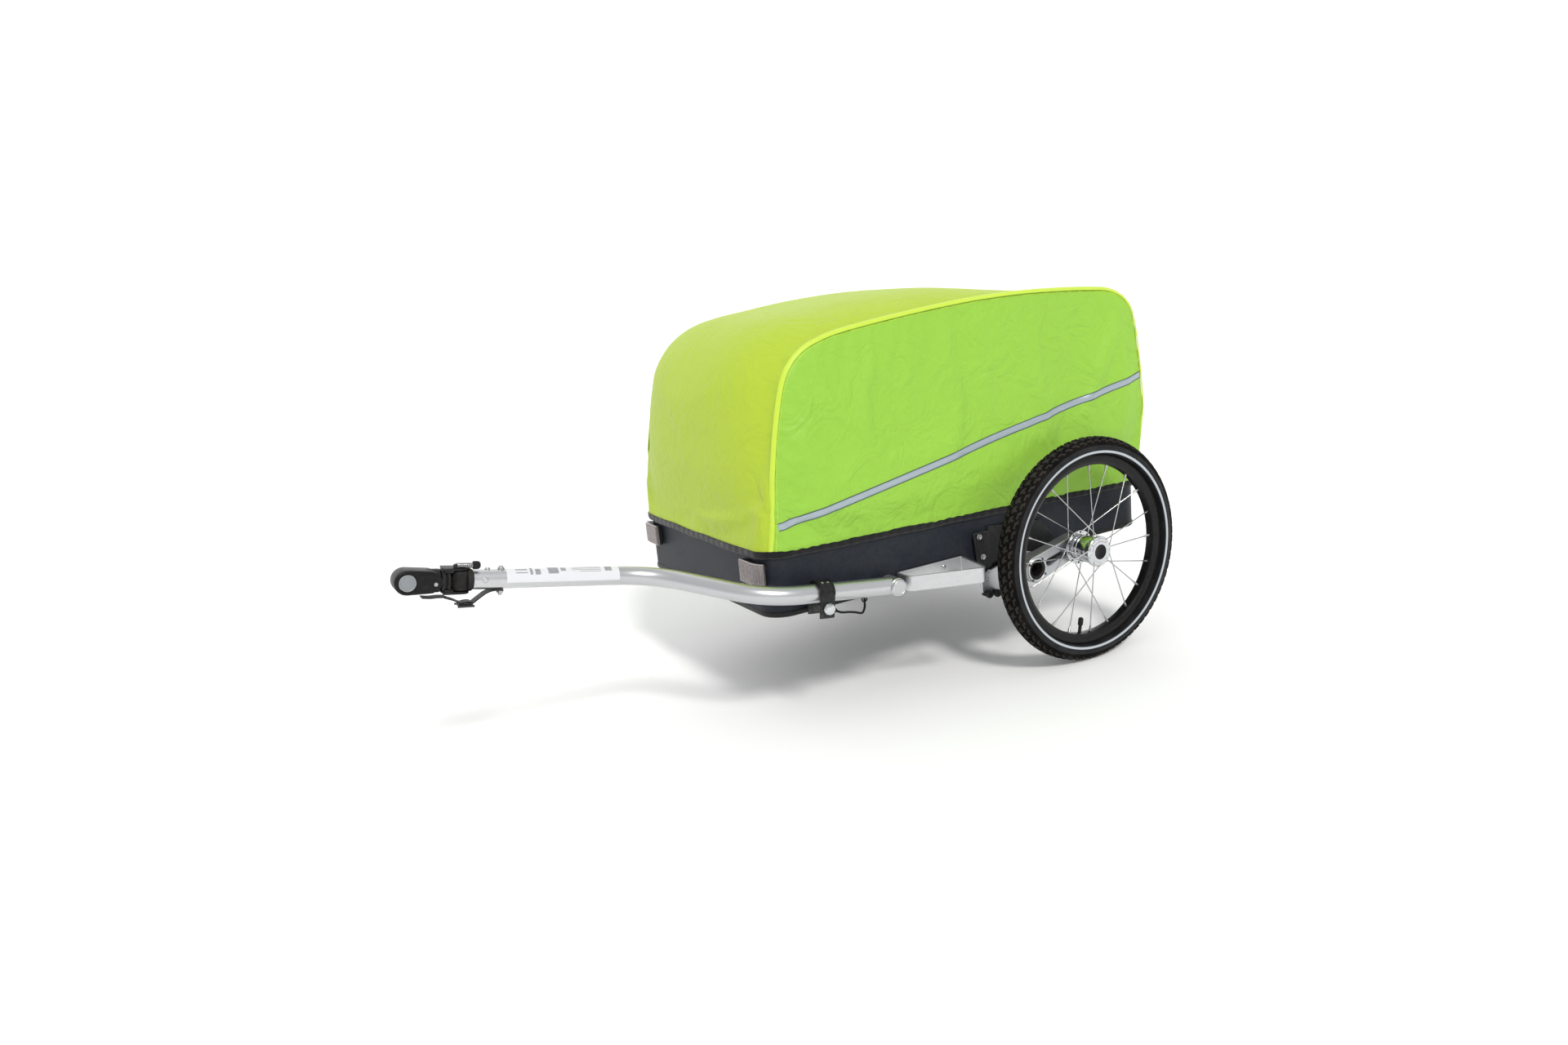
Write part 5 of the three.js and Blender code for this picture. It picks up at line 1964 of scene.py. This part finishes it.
tape_path = []
for name, side in SIDES:
    x, row = -224.0, []
    while x < 572:
        row.append((Vector((x, side * 250, tape_height(x))), Vector((0, -side, 0))))
        x += 5
    tape_path.append(row)
tape_shapes, edge_shapes = [], []
for row in tape_path:
    spots, normals, ups = [], [], []
    for spot, toward in row:
        hit, normal = on_cloth(spot, toward)
        if (hit - spot).length > 26:
            continue
        spots.append(hit)
        normals.append(normal)
    for i in range(len(spots)):
        along = (spots[min(i + 1, len(spots) - 1)] - spots[max(i - 1, 0)]).normalized()
        up = normals[i].cross(along).normalized()
        ups.append(up if up.z > 0 else -up)
    tape_shapes.append(ribbon(spots, normals, ups, TAPE_W, 0.7))
    for sign in (1, -1):
        edge = [s + u * (sign * (TAPE_W / 2 + 0.5)) for s, u in zip(spots, ups)]
        edge_shapes.append(ribbon(edge, normals, ups, 1.5, 0.95))
piece(
    "reflective_tape",
    [*[(tape_grey, t) for t in tape_shapes], *[(tape_edge, e) for e in edge_shapes]],
    place(), "cover", flat_angle=60,
)

# %% A loop over both sides that does nothing
for name, side in SIDES:
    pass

# %% [markdown]
# ## The bows under the cover
# The cover keeps its shape because two bent bows stand in sockets in the tub's rail.
# They are hidden until the cover is lifted, but then they have to look right, so they
# are real round tubes with plugs at their feet.

# %% Cover frame
BOW_R, BOW_Y, BOW_FOOT, BOW_INSET = 6.0, 226.0, 318.0, 24.0
bow = []
for i in range(0, STATIONS + 1, 3):
    inner_spot = seam[i] - seam_out(i) * BOW_INSET
    if inner_spot.z > BOW_FOOT + 50:
        bow.append(inner_spot)
front_foot, rear_foot = TUB_FRONT - 36, TUB_REAR + 32
bow = [Vector((front_foot, 0, BOW_FOOT - 14)), Vector((front_foot, 0, BOW_FOOT + 16)), *bow,
       Vector((rear_foot, 0, BOW_FOOT + 16)), Vector((rear_foot, 0, BOW_FOOT - 14))]
bow_tubes, plugs = [], []
for name, side in SIDES:
    line = smooth_path([p + Vector((0, side * BOW_Y, 0)) for p in bow], 3)
    bow_tubes.append(swept(line, circle(BOW_R, 20)))
    for foot_x in (front_foot, rear_foot):
        plugs.append(shifted(placed(turned([(0, -12), (8, -12), (8, 2), (7, 4), (0, 4)], 24),
                                    upward), foot_x, side * BOW_Y, BOW_FOOT))
ties = []
for share in (0.262, 0.742):
    i = round(share * STATIONS)
    spot = seam[i] - seam_out(i) * BOW_INSET
    ties.append(swept([spot + Vector((0, BOW_Y, 0)), spot + Vector((0, -BOW_Y, 0))],
                      circle(5, 18)))
piece(
    "cover_bows",
    [*[(anodised, b) for b in bow_tubes], *[(anodised, t) for t in ties],
     *[(moulded_black, p) for p in plugs]],
    place(), "chassis", ["cover_frame"],
)

# %% [markdown]
# ## Finishes for the pieces that keep their shape
# The floor, the rail, the beams, the axles and the bearings already have the right
# shape in the frame. They only get one of the finishes above, chosen by what the
# piece is made of.

# %% Kept pieces
by_slot = {
    "aluminium": anodised, "polished": polished_alloy, "steel": zinc_steel,
    "black_metal": black_paint, "tub_plastic": tub_skin, "black_plastic": moulded_black,
    "grey_plastic": disc_grey, "rubber": joint_rubber, "tyre": wall_rubber,
    "clear_lens": lens_clear, "red_lens": lens_red, "cover_cloth": cloth_main,
    "webbing": webbing_black,
}
slot_of = {row["node"]: row["material_slot"] for row in frame["record"]["subparts"]}
kept = []
for name, node in frame["nodes"].items():
    if node.hide_render:
        continue
    kept.append(name)
    node.data.materials.clear()
    node.data.materials.append(by_slot[slot_of[name]])
    for face in node.data.polygons:
        face.use_smooth = True
    node.data.set_sharp_from_angle(angle=math.radians(32))
print("kept:", kept)

# %% [markdown]
# ## Floor, light and sky
# A plain pale floor that curves up into a wall, and one large soft light. The light
# comes over the viewer's shoulder at about forty-five degrees and is wide, so the
# shadow behind the wheel has a soft rim. A white sky fills the shadows.

# %% Floor
floor_look = finish(
    "studio floor", (0.93, 0.93, 0.93, 1.0), 0.7, amount=0.01, scale=2.0, spread=0.02,
    relief=(grain, {"Scale": 400.0}), depth=0.00005, strength=0.03,
)
SWEEP_AT, SWEEP_R, WALL_TOP, REACH = -9.0, 4.0, 40.0, 60.0
profile = [(25.0, 0.0), (SWEEP_AT, 0.0)]
for i in range(1, 25):
    turn = math.pi / 2 * i / 24
    profile.append((SWEEP_AT - SWEEP_R * math.sin(turn), SWEEP_R * (1 - math.cos(turn))))
profile.append((SWEEP_AT - SWEEP_R, WALL_TOP))
floor_points = [(x, y, z) for y, z in profile for x in (-REACH, REACH)]
floor_faces = [(2 * i, 2 * i + 1, 2 * i + 3, 2 * i + 2) for i in range(len(profile) - 1)]
floor_mesh = bpy.data.meshes.new("studio_floor")
floor_mesh.from_pydata(floor_points, [], floor_faces)
floor_mesh.materials.append(floor_look)
for face in floor_mesh.polygons:
    face.use_smooth = True
floor = bpy.data.objects.new("studio_floor", floor_mesh)
bpy.context.collection.objects.link(floor)
floor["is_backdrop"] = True

# %% Light
sun_data = bpy.data.lights.new("key light", "SUN")
sun_data.energy = 1.9
sun_data.angle = math.radians(11)
sun_data.color = (1.0, 0.985, 0.96)
sun = bpy.data.objects.new("key light", sun_data)
bpy.context.collection.objects.link(sun)
sun.rotation_euler = Vector((-0.107, -0.695, -0.711)).to_track_quat("-Z", "Y").to_euler()
world = bpy.data.worlds.new("sky")
world.use_nodes = True
sky = world.node_tree.nodes["Background"]
sky.inputs["Color"].default_value = (0.98, 0.99, 1.0, 1.0)
sky.inputs["Strength"].default_value = 0.74
bpy.context.scene.world = world
bpy.context.scene.view_settings.view_transform = "Standard"
bpy.context.scene.view_settings.look = "None"

# %% Write down the sizes and finish
low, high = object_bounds()
print("visual box:", [round(v, 4) for v in high - low])
